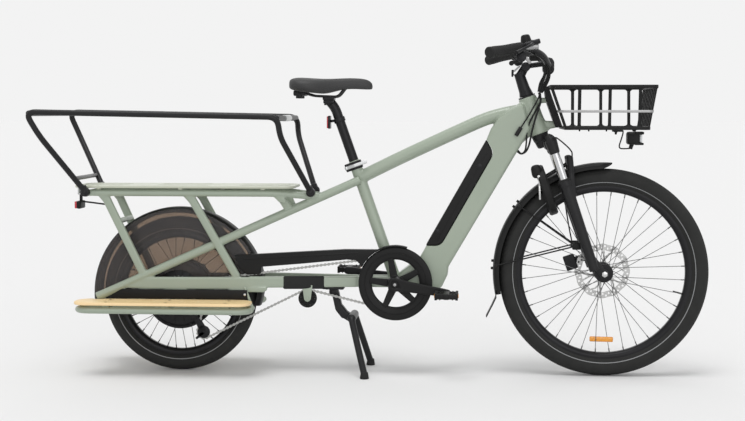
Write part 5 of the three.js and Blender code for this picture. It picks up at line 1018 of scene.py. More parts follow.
def make_pedals():
    for name, side in SIDES:
        centre = cranked(-side * CRANK_LENGTH, 0, 0) - at(0, 0, 0)
        x, z = centre.x * 1000, centre.z * 1000
        y1, y2 = side * 93, side * 182
        parts = [block("pedal_core", at(x - 9, min(y1, y2) + 0.001, z - 9), at(x + 9, max(y1, y2), z + 9), 3)]
        for sx in (-1, 1):
            parts.append(bar("pedal_rail", at(x + sx * 33, y1, z), at(x + sx * 33, y2, z), 14, 9, 2.5))
            for k in range(9):
                y = y1 + (y2 - y1) * (k + 0.5) / 9
                parts.append(bar("pedal_tooth", at(x + sx * 33, y, z - 10.6), at(x + sx * 33, y, z + 10.6), 8,
                                 4.4, 1))
        for y in (y1 + side * 6, (y1 + y2) / 2, y2 - side * 6):
            parts.append(block("pedal_bridge", at(x - 34, y - 4, z - 8), at(x + 34, y + 4, z + 8), 2))
        for sx in (-1, 1):
            for k in range(5):
                y = y1 + (y2 - y1) * (k + 0.5) / 5
                parts.append(stud("pedal_stud", x + sx * 20, y, z - 10.4, z + 10.4, 2, sides=10))
        parts.append(rod("pedal_axle", at(x, side * 79, z), at(x, side * 96, z), 6, sides=24, bevel=0.6))
        assembled(f"{name}_pedal_platform", parts, f"{name}_pedal", PLASTIC, "black_plastic", f"{name}_pedal")
        lens = [block("pedal_lens", at(x + sx * 38 - 1, (y1 + y2) / 2 - 18, z - 5.5),
                      at(x + sx * 38 + 1, (y1 + y2) / 2 + 18, z + 5.5), 0.8)
                for sx in (-1, 1)]
        assembled(f"{name}_pedal_reflectors", lens, f"{name}_pedal", AMBER, "red_lens")


def make_chain_case():
    ring = [around(CRANK, r, a) for r, a in
            [(120.9, 154 - 5.125 * k) for k in range(17)] + [(125.6, 72 + 4.6 * k) for k in range(11)]]
    outline = [(192, 389), (206, 350), (232, 326), (276, 328), (281, 352), (420, 364), (560, 378), (590, 376),
               (602, 364)] + ring + [(554, 411)]
    body = plate("case_body", outline, -65, -41, 1.6, 3)
    ridge = bar("case_ridge", at(225, -64.6, 377), at(596, -64.6, 400), 5, 3, 1.2)
    screw = [disc("case_screw", x, z, 4.5, -66, -60, 20, 0.8) for x, z in ((214, 372), (560, 396))]
    assembled("chain_case_shell", [body, ridge, *screw], "frame", PLASTIC, "black_plastic", "chain_case")


# Frame, rack and boards


def make_main_frame():
    outline = [(1127, 885), (1091, 868), (1047, 835), (1024, 801), (1011, 769), (796, 384), (718, 324),
               (694, 300), (718, 276), (866, 283), (887, 328), (889, 353), (1152, 801)]
    box = plate("down_tube_box", outline, -37, 37, 9, 4)
    top = [(596, 640), (690, 687), (795, 737), (925, 797), (1010, 834), (1080, 853), (1146, 864)]
    top_tube = tube("top_tube", spline_route([at(x, 0, z) for x, z in top], 4), 21.5, 28)
    seat_tube = rod("seat_tube", across(CRANK, 0), across(SEAT_TUBE_TOP, 0), 19, sides=36)
    shell = disc("bracket_shell", *CRANK, 24, -36.5, 36.5, 40, 1)
    head = column("head_tube", 492, 617, 29, sides=44, bevel=1)
    head_foot = rod("head_foot", steered(1.5, 0, 492), steered(0, 0, 556), 33, 28.6, 44)
    lugs = [bar("lug", at(1146, 0, 891), at(1210.5, 0, 894), 24, 36, 5, 15),
            bar("lug", at(1166, 0, 812), at(1238.8, 0, 816), 36, 36, 6, 20)]
    neck = plate("head_neck", [(1100, 877), (1132, 892), (1168, 800), (1152, 778), (1110, 742)], -30, 30, 12,
                 5)
    piece = welded("painted_main_frame", [box, top_tube, seat_tube, shell, head, head_foot, neck, *lugs], 2.3,
                   9, 0.5)
    for cutter in (
        plate("battery_room", battery_outline(0.9, 0.25), -44, 44, 0),
        column("steerer_room", 480, 630, 20, sides=40),
        rod("post_room", across(SEAT_TUBE_TOP, 0) - SEAT_RUN * 0.14,
            across(SEAT_TUBE_TOP, 0) + SEAT_RUN * 0.02, 16.6, sides=40),
        disc("spindle_room", *CRANK, 12.2, -50, 50, 32),
    ):
        carved(piece, cutter)
    dressed(smoothed(piece, 40), "frame", PAINT, "frame_paint", "main_frame")
    for name, low, high, radius in (("upper_headset_cup", 617.2, 621.6, 27.6),
                                    ("lower_headset_cup", 489, 492.4, 28.6)):
        dressed(column(name, low, high, radius, sides=44, bevel=1), "frame", BLACK, "black_metal")


SEAT_RUN = Vector((-140, 0, 397)).normalized()
TUBE_RUN = Vector((215, 0, 385)).normalized()
TUBE_INWARD = Vector((TUBE_RUN.z, 0, -TUBE_RUN.x))


def battery_outline(grow, mouth=0.0):
    """The battery's outline in the upright plane, in millimetres, with its two inner corners rounded."""
    top, low = Vector((1010, 0, 767)) + TUBE_RUN * grow, Vector((815, 0, 423)) - TUBE_RUN * grow
    depth = 43 + grow
    top_inner = top - TUBE_RUN * 27 + TUBE_INWARD * depth
    low_inner = low + TUBE_RUN * 24 + TUBE_INWARD * depth
    corner_bend = 20000
    corners = rounded(
        [top.lerp(top_inner, -mouth), top_inner, low_inner, low.lerp(low_inner, -mouth)], corner_bend, 5)
    return [(corner.x, corner.z) for corner in corners]


def make_battery():
    body = plate("battery_case", battery_outline(0), -36, 36, 5.5, 5)
    ribs = []
    for side in BOTH:
        start = at(838, side * 35.4, 443) + TUBE_INWARD * 0.014
        end = at(1000, side * 35.4, 733) + TUBE_INWARD * 0.014
        ribs.append(bar("battery_seam", start, end, 1.6, 2.4, 0.5))
    case = joined("battery_cover", [body, *ribs])
    dressed(case, "battery", PLASTIC, "black_plastic", "battery")
    lock = [disc("lock_face", 987, 681, 9, -36.9, -34, 32, 0.8),
            disc("lock_cap", 853, 470, 7, -36.9, -34, 32, 0.8)]
    assembled("battery_lock_caps", lock, "battery", ALLOY, "black_metal")


def stay_height(x):
    return 635.6 + (x - 600) * (635.6 - 251) / (600 + 262)


def stay_route(side):
    rows = [(600, 22), (480, 34), (220, 60), (-113, 64), (-262, 82)]
    return [at(x, side * y, stay_height(x)) for x, y in rows]


def make_rear_frame():
    chainstay = [
        bar("stay_front", at(712, -24, 302), at(590, -27, 302), 35, 18, 5),
        bar("stay_middle", at(592, -26.8, 302), at(238, -64.2, 302), 35, 18, 5, 38),
        bar("stay_rear", at(246, -63.6, 298), at(-125, -67, 296), 41, 18, 5),
        bar("stay_tail", at(-112, -66.8, 296.4), at(-176, -71, 287), 40, 18, 5, 13)]
    long_stay = tube("long_stay", spline_route(stay_route(-1), 5), 14, 24)
    rail = tube("rack_rail", rounded([at(-300, -85, 593), at(330, -85, 593), at(462, -41, 581)], 30), 11, 20)
    struts = [bar("strut", at(x1, y1, z1), at(x2, y2, z2), 27, 16, 6) for x1, y1, z1, x2, y2, z2 in (
        (-235, -83, 593, -106, -66, 318), (46, -83, 593, 201, -64, 316), (341, -80, 593, 368, -48, 543))]
    flares = []
    for x1, reach, shift in ((-235, 40, 19), (46, 40, 22), (341, 30, 15)):
        flares.append(plate("flare", [(x1 - 27, 593), (x1 + 15, 593), (x1 + shift + 12, 593 - reach),
                                      (x1 + shift - 12, 593 - reach)], -75, -87, 4))
    crossings = [rod("cross_tube", at(x, -y, z), at(x, 2, z), 9, sides=20) for x, y, z in (
        (-186, 74, 500), (455, 38, 571), (130, 85, 593), (-289, 85, 593), (330, 55, 300))]
    dropout = plate("dropout", [(-34, 290), (34, 290), (34, 248.4), (22, 241), (0, 238), (-22, 243),
                                (-34, 256)], -66, -74, 2)
    chainstay.append(plate("arm_bracket", [(172, 286), (300, 286), (300, 276), (288, 269), (190, 269),
                                           (172, 276)], -64, -73, 2.5))
    right = welded("right_painted_stays",
                   [*chainstay, long_stay, rail, *struts, *flares, *crossings, dropout], 2.2, 6, 0.5)
    left = mirrored(right, "left_painted_stays")
    tab = plate("idler_tab", [(413, 292), (447, 292), (441, 246), (437, 240), (430, 237), (423, 240),
                              (419, 246)], -50.8, -53.8, 0.8)
    pin = disc("idler_bolt", *IDLER, 4, -56.8, -36.5, 20, 0.6)
    right = joined("right_painted_stays", [right, tab, pin])
    dressed(right, "frame", PAINT, "frame_paint", "right_rear_frame")
    dressed(left, "frame", PAINT, "frame_paint", "left_rear_frame")
    guard = bar("chainstay_sleeve", at(485, -38.2, 300), at(350, -52.4, 300), 42, 22, 6)
    dressed(guard, "frame", GRIP, "grip_rubber")


def rounded_rectangle(x1, x2, y1, y2, corner, steps=8):
    right, left, far, near = x2 - corner, x1 + corner, y2 - corner, y1 + corner
    middles = ((right, far), (left, far), (left, near), (right, near))
    return [around(middle, corner, start + 90 * k / steps)
            for start, middle in zip((0, 90, 180, 270), middles) for k in range(steps + 1)]


def make_deck():
    stations = [(x, side) for x in (-250, 20, 290) for side in BOTH]
    deck = slab("deck_plate", rounded_rectangle(-334, 392, -100, 100, 40), 609, 617, 2.2)
    slots = [slab("slot", rounded_rectangle(x - 85, x + 85, side * 42 - 13, side * 42 + 13, 12), 600, 626, 0)
             for x, side in stations]
    lip = bevelled(carved(deck, joined("slots", slots)), 0.9, 2, 60)
    bosses = [stud("boss", x, side * 85, 604.3, 613, 8, sides=20) for x, side in stations]
    bolts = [stud("deck_bolt", x, side * 85, 617, 616, 6, sides=20) for x, side in stations]
    # The deck wears the paler copy of the frame paint, which is painted sunlight on its top.
    dressed(smoothed(joined("rack_deck_with_painted_sunlight", [lip, *bosses])), "frame", SUNLIT_DECK_PAINT, "frame_paint",
            "rack_deck")
    assembled("deck_bolts", bolts, "frame", STEEL, "steel")


def make_monkey_bars():
    front_bar = (356.8, 835.8)
    knees = [(-290, 112, 600), (-403, 222, 781), (-442, 239, 856), (361, 239, 840), (366, 218, 778),
             (441, 68, 602)]
    parts = []
    for side in BOTH:
        route = [at(x, side * y, z) for x, y, z in knees]
        parts.append(tube("hoop", rounded(route, 34, 8), 9.5, 20))
        for x, y1, y2, y, on in ((-290, 96.3, 119, 112, -5), (443, 56, 78, 68, -6)):
            parts += [rod("foot", at(x, side * y1, 596), at(x, side * y2, 596), 16, 14, 32, 3),
                      rod("foot_neck", at(x, side * y, 596), at(x + on, side * y, 618), 12, 10, 28, 2)]
    parts += [disc("rear_bar", -433.5, 851.8, 9.5, -230, 230, 20),
              disc("front_bar", *front_bar, 9.5, -230, 230, 20)]
    dressed(welded("black_monkey_bars", parts, 1.9, 5, 0.5), "frame", BLACK, "black_metal", "monkey_bars")
    low = disc("low_rear_bar", -318, 641, 7, -140, 140, 20, 1)
    dressed(low, "frame", SPOKE_STEEL, "alloy")
    bolts = [rod("foot_bolt", at(x, side * y, 596), at(x, side * (y + 6.2), 596), 8.5, 7, 24, 1.4)
             for x, y in ((-290, 117), (443, 76)) for side in BOTH]
    assembled("foot_bolts", bolts, "frame", BLACK, "black_metal")
    sleeve = disc("front_bar_sleeve", *front_bar, 10.4, -60, 60, 24, 1)
    dressed(sleeve, "frame", SILVER, "alloy")
    bracket = [block("rear_bracket", at(-340, -20, 583), at(-335.5, 20, 616), 1.5),
               block("bracket_foot", at(-340, -20, 583), at(-296, 20, 588), 1.5)]
    assembled("rear_light_bracket", bracket, "frame", SILVER, "alloy")


def make_boards():
    for name, side in SIDES:
        def span(label, x, depth, inner, outer, z1, z2, bevel=2.0):
            return block(label, at(x - depth / 2, side * inner, z1), at(x + depth / 2, side * outer, z2),
                         bevel)
        loop = [at(x, side * y, 218.6) for x, y in rounded_rectangle(-308.5, 256, 94.5, 176.5, 44)]
        parts = [tube("board_loop", loop, 10.5, 20, closed=True)]
        parts += [span("bearer", x, 24, 94, 176, 220, 235.7) for x in (-210, -15, 180)]
        parts += [bar("front_arm", at(226, side * 75, 288), at(252, side * 77, 222), 9, 6, 2),
                  span("front_foot", 250, 20, 73.4, 95, 212.6, 224.6),
                  span("rear_arm", -262, 24, 79, 93, 214, 244)]
        dressed(welded(f"{name}_painted_board_frame", parts, 2, 5, 0.5), "frame", PAINT, "frame_paint",
                f"{name}_board_frame")
        y1, y2 = sorted((side * 80, side * 190))
        wood = slab("board", rounded_rectangle(-319, 258, y1, y2, 44), 236, 245, 2, 3)
        wood = carved(wood, tube("stay_room", stay_route(side)[3:], 15, 24))
        wood = carved(wood, span("arm_room", -262, 25, 78, 94, 230, 250, 0.1))
        slots = [slab("slot", rounded_rectangle(x - 55, x + 55, side * y - 4, side * y + 4, 4, 4), 230, 250,
                      0)
                 for x in (-160, -15, 130) for y in (112, 135, 158)]
        wood = carved(wood, joined("slots", slots))
        dressed(smoothed(wood), "frame", WOOD, "board_wood", f"{name}_footboard")
        screws = [stud("screw", x, side * y, 244.4, 245, 5, sides=16) for x in (-210, -15, 180)
                  for y in (104, 166)]
        bolts = [rod("arm_bolt", at(228, side * 79, 262), at(228, side * 83, 262), 5, 4, 16, 1)]
        assembled(f"{name}_board_screws", screws + bolts, "frame", STEEL, "steel")
        panel = block("panel", at(-212, side * 78, 246), at(236, side * 80.6, 277), 1)
        panel.name = f"{name}_side_panel"
        dressed(panel, "frame", PLASTIC, "black_plastic")


GUARD_RADIUS = 280


def make_guards():
    outline = [around(REAR, GUARD_RADIUS, a) for a in range(6, 177, 3)]
    outline += [(-GUARD_RADIUS, 258), (-127, 286)]
    for name, side in SIDES:
        sheet = plate("guard_sheet", outline, side * 36.4, side * 38.4, 0)
        sheet = carved(sheet, tube("stay_room", stay_route(side), 14.5, 24))
        if side < 0:
            sheet = carved(sheet, disc("axle_notch", *REAR, 80, -50, -20, 72))
        pads = [disc("pad", x, stay_height(x), 8, side * 37, side * 52, 24, 1) for x in (70, -96)]
        sheet = smoothed(bevelled(sheet, 0.5, 2))
        dressed(sheet, "frame", SMOKE, "smoked_sheet", f"{name}_skirt_guard").name = f"{name}_smoked_guard"
        assembled(f"{name}_guard_clips", pads, "frame", PLASTIC, "black_plastic")


def fender_section(outer, depth, half, wall):
    shape = [(outer - depth, half), (outer - 0.55 * depth, half - 0.4), (outer - 0.3 * depth, half - 4),
             (outer - 0.12 * depth, half - 10), (outer - 0.03 * depth, half - 18), (outer, half - 27)]
    out = [(r, -y) for r, y in shape] + [(r, y) for r, y in reversed(shape)]
    inside = []
    for r, y in out:
        share = y / half
        inside.append((r - wall * (1 - 0.65 * abs(share) ** 3), y - wall * share ** 3))
    inside[0], inside[-1] = (out[0][0], out[0][1] + wall), (out[-1][0], out[-1][1] - wall)
    return out + inside[::-1]


def make_fenders():
    rear = turned("rear_fender_band", REAR, fender_section(288, 18, 36, 2.5), 120, -8, 198)
    tuck_start, tuck_sweep, tuck = 25, 33, 0.016
    for vertex in rear.data.vertices:
        x, z = flat(vertex.co)
        angle = math.degrees(math.atan2(z - REAR[1], x))
        if -90 < angle < tuck_start:
            outward = Vector((x, 0, z - REAR[1])).normalized()
            vertex.co -= outward * tuck * ((tuck_start - angle) / tuck_sweep) ** 2
    dressed(rear, "frame", PLASTIC, "black_plastic", "rear_fender")
    outside, tip_start, tip_sweep = 357, 86, 5
    band = turned("front_band", FRONT, fender_section(outside, 20, 34, 2.5), 72, tip_start, 106)
    for vertex in band.data.vertices:
        x, z = flat(vertex.co)
        share = (math.degrees(math.atan2(z - FRONT[1], x - FRONT[0])) % 360 - tip_start) / tip_sweep
        if share < 1:
            keep = math.sqrt(max(share, 0.05))
            reach = math.hypot(x - FRONT[0], z - FRONT[1])
            fall = (outside - reach) * (1 - keep) / reach
            vertex.co += Vector(((x - FRONT[0]) * fall / 1000, vertex.co.y * (keep - 1),
                                 (z - FRONT[1]) * fall / 1000))
    edge = across(around(FRONT, 354, 190), 0)
    flap_route = [edge, at(1044, 0, 254), at(1031, 0, 226), at(1013, 0, 190)]
    flap = [bar("flap", a, b + (b - a).normalized() * 0.001, 3, width, 1)
            for a, b, width in zip(flap_route, flap_route[1:], (64, 62, 52))]
    heads = [rod("fender_screw", *[at(FRONT[0] - r * back, 0, FRONT[1] + r * up) for r in (355, 364)], 5, 4,
                 16, 1)
             for back, up in ((0.771, 0.637), (0.807, 0.59), (0.995, 0.098), (0.9995, 0.03))]
    parts = [band, *flap, *heads]
    for side in BOTH:
        for angle in (141.6, 176.3):
            end = across(around(FRONT, 347, angle), side * 33.5)
            parts += [rod("fender_stay", at(1298, side * 41, 425), end, 2.4, sides=12),
                      rod("stay_clip", end + Vector((0, side * -0.004, 0)),
                          end + Vector((0, side * 0.003, 0)), 5.5, sides=16, bevel=1)]
        parts.append(block("stay_root", at(1287, side * 37, 414), at(1314, side * 50, 436), 3))
    assembled("front_fender_band", parts, "fork_lowers", PLASTIC, "black_plastic", "front_fender")


# Seat and stand


def clamp_place(back, y, up):
    backward = Vector((-SEAT_RUN.z, 0, SEAT_RUN.x))
    return across(SEAT_TUBE_TOP, 0) + (backward * back + SEAT_RUN * up) / 1000 + Vector((0, y / 1000, 0))


def make_seat():
    def post_at(z):
        return at(CRANK[0] - 140 / 397 * (z - CRANK[1]), 0, z)
    shaft = tube("post_tube", rounded([post_at(560), post_at(868), at(497, 0, 893)], 30, 6), 15.8, 36)
    head = [disc("clamp_head", 497, 893, 15, -22, 22, 40, 2),
            bar("clamp_top", at(478, 0, 900), at(516, 0, 900), 12, 52, 3),
            bar("clamp_base", at(480, 0, 888), at(514, 0, 888), 10, 50, 3)]
    bolts = [stud("clamp_bolt", x, 0, 878, 908, 3.4, sides=12) for x in (484, 511)]
    band = [rod("reflector_band", post_at(823), post_at(837), 19, sides=36, bevel=1),
            bar("reflector_arm", at(502, 0, 826), post_at(829), 9, 12, 2)]
    back = block("reflector_back", at(495, -22, 801), at(502, 22, 844), 3)
    post = joined("seatpost_tube_and_clamp", [shaft, welded("clamp", head, 1.4, 4, 0.6), *bolts, *band, back])
    dressed(post, "seatpost", ALLOY, "black_metal", "seatpost")
    dressed(block("seatpost_reflector", at(491, -20, 803), at(495.2, 20, 842), 1.6), "seatpost", RED,
            "red_lens")
    make_saddle()
    collar = [rod("collar_band", clamp_place(0, 0, -29), clamp_place(0, 0, -3), 23, sides=40, bevel=1.5),
              *[bar("collar_ear", clamp_place(14, y, -16), clamp_place(34, y, -16), 26, 6, 2)
                for y in (5.2, -5.2)],
              rod("skewer", clamp_place(30, 13, -16), clamp_place(30, -13.6, -16), 3.5, sides=16),
              rod("skewer_nut", clamp_place(30, 8, -16), clamp_place(30, 14, -16), 6, sides=20, bevel=1)]
    assembled("seat_clamp_collar", collar, "frame", ALLOY, "black_metal", "seat_clamp")
    blade = [rod("lever_hub", clamp_place(30, -19, -21.5), clamp_place(30, -19, -10.5), 5, sides=20, bevel=1),
             bar("lever_root", clamp_place(30, -19, -16), clamp_place(1, -29.5, -16), 11, 5.4, 2),
             bar("lever_blade", clamp_place(3, -29.5, -16), clamp_place(-41, -27, -16), 11, 5, 2)]
    dressed(welded("quick_release_lever", blade, 1, 4, 0.6), "seat_lever", SILVER, "alloy",
            "seat_clamp_lever")


def make_saddle():
    rows = [(369, 38, 957, 936), (376, 66, 964, 929), (392, 84, 968, 923), (415, 91, 968, 920),
            (445, 89, 966, 916), (470, 77, 964.5, 914), (492, 60, 964, 916), (515, 44, 964.5, 922),
            (545, 33, 966, 929), (580, 27, 967, 930), (610, 23, 965, 928), (629, 18, 958, 928),
            (640, 11, 948, 929)]
    section = [(0, 1), (0.4, 0.99), (0.72, 0.93), (0.92, 0.74), (1, 0.45), (0.97, 0.16), (0.88, 0),
               (0.7, 0.06), (0.35, 0.2), (0, 0.24)]
    section += [(-w, h) for w, h in reversed(section[1:-1])]
    count = len(section)
    points = [at(x, w * half, low + h * (top - low)) for x, half, top, low in rows for w, h in section]
    faces = [(i * count + k, i * count + (k + 1) % count, (i + 1) * count + (k + 1) % count,
              (i + 1) * count + k)
             for i in range(len(rows) - 1) for k in range(count)]
    faces += [range(count), range((len(rows) - 1) * count, len(rows) * count)]
    cushion = drawn("saddle_cushion", points, faces=faces)
    edited(cushion, FACE_OUTWARD)
    shaped(cushion, "SUBSURF", levels=3, render_levels=3)
    for vertex in cushion.data.vertices:
        x, y, z = vertex.co.x * 1000 - REAR_AXLE_X * 1000, vertex.co.y * 1000, vertex.co.z * 1000
        if z > 944:
            groove = math.exp(-(y / 7) ** 2) * (1 if x < 590 else max(0, 1 - (x - 590) / 30))
            vertex.co.z -= 0.0032 * groove
            half = 90 if x < 450 else max(20, 90 - (x - 450) * 0.55)
            seam = math.exp(-((abs(y) - 0.62 * half) / 1.6) ** 2)
            vertex.co.z -= 0.0011 * seam
    dressed(smoothed(cushion, 60), "seatpost", SADDLE, "seat_cover", "saddle")
    rail = [(405, 22, 926), (409, 22, 921), (450, 22, 908), (528, 22, 905), (553, 20, 936)]
    rails = [tube("saddle_rail", rounded([at(x, side * y, z) for x, y, z in rail], 12), 4.2, 16)
             for side in BOTH]
    pan = block("saddle_pan", at(383, -34, 908), at(424, 34, 926), 5)
    springs = [stud("elastomer", 402, side * 26, 900, 925, 11, sides=24, bevel=2) for side in BOTH]
    assembled("saddle_rails_and_pan", rails + [pan] + springs, "seatpost", BLACK, "black_metal")


def make_stand():
    arm = [bar("stand_arm", at(516, 0, 268), at(530, 0, 204), 24, 34, 6),
           bar("stand_arm", at(527, 0, 216), at(552, 0, 184), 28, 34, 6),
           bar("stand_arm", at(546, 0, 192), at(580, 0, 172), 26, 34, 6),
           disc("stand_hub", *STAND_PIVOT, 15, -18, 18, 36, 2),
           disc("stand_cross", 575, 184, 14, -60, 60, 32, 3)]
    for side in BOTH:
        top, foot = at(575, side * 58, 184), at(623, side * 127, 11)
        arm.append(tube("stand_leg", rounded([at(575, side * 30, 184), top, foot], 22, 5), 11, 24))
    body = welded("two_leg_stand", arm, 2, 5, 0.5)
    feet = [stud("stand_foot", 623, side * 127, 0, 22, 15, 11.5, 28, 2) for side in BOTH]
    pin = disc("stand_pin", *STAND_PIVOT, 6, -30, 30, 24, 1)
    assembled("two_leg_kickstand", [body, pin], "kickstand", BLACK, "black_metal", "kickstand")
    assembled("stand_feet", feet, "kickstand", GRIP, "grip_rubber")
    parts = [block("stand_plate", at(478, -40, 277), at(548, 40, 284), 2)]
    for side in BOTH:
        parts.append(plate("stand_ear", [(499, 278), (525, 278), (525, 262), (520, 255), (512, 252.5),
                                         (504, 255), (499, 262)],
                           side * 19, side * 27.6, 1.2))
    bolts = [stud("stand_bolt", x, 0, 272, 284, 7, sides=6, bevel=0.8) for x in (490, 536)]
    assembled("stand_plate_and_ears", parts + bolts, "frame", BLACK, "black_metal", "kickstand_bracket")


# Fork, lock and cockpit


def make_fork():
    leg_forward, leg_out = 25, 68

    def leg(label, side, low, high, *shape, **more):
        ends = [steered(leg_forward, side * leg_out, along) for along in (low, high)]
        return rod(label, *ends, *shape, **more)
    crown_parts = [bar("crown_bar", steered(22, 0, 432), steered(19, 0, 470), 40, 140, 12),
                   column("crown_race", 470, 491.7, 25, 28, 40, 2),
                   rod("crown_stub", steered(1, 0, 446), steered(0, 0, 473), 20, 24, 40, 6)]
    for side in BOTH:
        crown_parts += [leg("crown_end", side, 418, 462, 16.6, 20, 36, 2),
                        rod("crown_cap", steered(leg_forward, side * leg_out, 461),
                            steered(23, side * 64, 480),
                            20, 11, 36, 2)]
    crown = welded("forged_crown", crown_parts, 1.9, 7, 0.5)
    steerer = column("steerer", 462, 690, 14, sides=32)
    assembled("crown_and_steerer", [crown, steerer], "steering", BLACK, "black_metal", "fork_crown")
    tubes = [leg("stanchion", side, 200, 430, 14, sides=44) for side in BOTH]
    assembled("polished_stanchions", tubes, "steering", CHROME, "steel")
    parts = []
    for side in BOTH:
        parts += [leg("leg", side, 22, 324, 16, 20, 40),
                  leg("leg_mouth", side, 308, 326, 21.4, sides=40),
                  bar("leg_lug", steered(52, side * 55.2, -8), steered(34, side * 58, 48), 25, 9.4, 3),
                  disc("lug_round", *FRONT, 14, side * 50.6, side * 60, 32, 1),
                  rod("post_low", steered(31, side * 67, 272), steered(54, side * 58, 344), 18, 10.6, 36),
                  rod("post_high", steered(53.6, side * 58, 340), steered(66, side * 36, 393), 10.6, 12, 36,
                      2)]
    parts.append(rod("arch", steered(62, -44, 378), steered(62, 44, 378), 11, sides=32))
    lowers = welded("lower_legs", parts, 2, 6, 0.5)
    for side in BOTH:
        carved(lowers, leg("leg_bore", side, 140, 400, 14.5, sides=40))
    carved(lowers, disc("axle_room", *FRONT, 6.4, -70, 70, 24))
    dressed(smoothed(lowers, 40), "fork_lowers", BLACK, "black_metal", "fork_lowers")
    wipers = [leg("wiper", side, 325, 332, 20, 17.5, 40, 1.4) for side in BOTH]
    wipers = [carved(wiper, leg("room", side, 320, 340, 14.2, sides=40))
              for wiper, side in zip(wipers, BOTH)]
    assembled("fork_wipers", wipers, "fork_lowers", GRIP, "grip_rubber")
    heads = [disc("axle_head", *FRONT, 10, side * 60.3, side * 65.4, 6, 1.2) for side in BOTH]
    axle = disc("axle_rod", *FRONT, 6, -66, 66, 24, 1)
    assembled("front_axle_and_heads", [axle, *heads], "fork_lowers", STEEL, "steel", "front_axle")


def make_lock():
    lock_height = 312
    section = [(60, -47), (63, -51), (80, -51), (84, -46), (84, -28), (80, -23), (63, -23), (60, -27)]
    ring = spun("lock_ring", [steered(f, *around((0, lock_height), r, -55)) for r, f in section],
                steered(-37, 0, lock_height),
                steered(0, 0, 0) - steered(1000, 0, 0), 64, -290)
    rods = [rod("lock_rod", steered(-37, side * 40, 352), steered(55.3, side * 40, 372), 4, sides=16)
            for side in BOTH]
    bulge = bar("lock_head", steered(-51, -41, 360), steered(-45, -41, 403), 34, 34, 13)
    case = joined("ring_lock_case", [ring, bulge, *rods])
    dressed(case, "fork_lowers", PLASTIC, "black_plastic", "ring_lock")
    key = [rod("key_shaft", at(1177, -57, 650), at(1177, -66, 650), 4.5, sides=20, bevel=1),
           bar("key_bow", at(1177, -64, 652), at(1180, -64, 620), 5, 2.4, 0.8),
           bar("spare_key", at(1180, -64, 626), at(1182, -64, 576), 6, 2, 0.8)]
    assembled("lock_key", key, "fork_lowers", STEEL, "steel")
    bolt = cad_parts["lock_bolt"]
    bolt.data.materials.clear()
    bolt.data.materials.append(STEEL)


def make_calipers():
    front = [bar("caliper_body", steered(-37, 39.6, 35), steered(-37, 39.6, 85), 38, 18, 4),
             bar("caliper_arm", steered(-30, 51, 60), steered(12, 51, 60), 24, 12, 3)]
    body = carved(welded("caliper", front, 1.4, 4, 0.6), disc("disc_room", *FRONT, 93, 35.4, 40.6, 72))
    bolts = [rod("caliper_bolt", steered(-37 + k, 57.6, 60), steered(-37 + k, 46, 60), 5, sides=16, bevel=0.8)
             for k in (12, 34)]
    assembled("front_caliper_body", [body, *bolts], "fork_lowers", ALLOY, "black_metal", "front_caliper")
    rear = welded("rear_caliper_body", [bar("caliper_body", at(40, 52, 322), at(73, 52, 338), 28, 19.6, 4),
                                        disc("piston_cap", 56, 331.8, 12, 62, 50, 32, 1.4)], 1.4, 4, 0.6)
    rear = carved(rear, disc("disc_room", *REAR, 93, 46.4, 51.6, 72))
    dressed(rear, "frame", ALLOY, "black_metal", "rear_caliper")


def bar_route(side):
    rows = [(96, 0, 689), (96, 30, 689), (86, 105, 727), (38.6, 178, 766.2), (-72.5, 325, 781)]
    return [steered(forward, side * y, along) for forward, y, along in rows]


def make_cockpit():
    clamp_x, clamp_z = flat(steered(96, 0, 689))
    stem = [column("column", 622, 700, 20, 16.5, 40, 1),
            rod("column_flare", steered(0, 0, 621.6), steered(1, 0, 646), 23.4, 18, 40),
            rod("neck", steered(2, 0, 690), steered(26, 0, 711), 15, 13, 32),
            disc("knuckle", *flat(steered(27, 0, 711)), 15, -19, 19, 36, 2),
            rod("arm", steered(27, 0, 713), steered(92, 0, 700), 8.6, sides=32)]
    stem += [disc("bar_clamp", clamp_x, clamp_z + rise, 19, -21, 21, 48, 2) for rise in (-9, 0, 9)]
    stem.append(rod("stem_catch", steered(-15, -5, 716), steered(-24, -6, 694), 4.6, 3.4, 16, 1.4))
    dressed(bar("column_cap", steered(-13, 0, 709.5), steered(10, 0, 720), 6, 30, 2), "steering", GREY_WIRE,
            "alloy")
    body = welded("stem_body", stem, 1.7, 5, 0.5)
    bolts = [rod("stem_bolt", steered(112, side * 12, 705), steered(112, side * 12, 710), 4, sides=16,
                 bevel=0.6) for side in BOTH]
    assembled("stem_with_clamp", [body, *bolts], "steering", ALLOY, "black_metal", "stem")
    halves = [tube("bar_half", rounded(bar_route(side), 34, 8), 11.1, 28) for side in BOTH]
    middle = rod("bar_middle", steered(96, -30, 689), steered(96, 30, 689), 15.9, sides=36, bevel=2)
    assembled("black_handlebar", halves + [middle], "steering", ALLOY, "black_metal", "handlebar")
    for name, side in SIDES:
        make_grip(name, side)


def flat(place):
    """A point's x and z in millimetres from the rear axle and the ground."""
    return (place.x - REAR_AXLE_X) * 1000, place.z * 1000


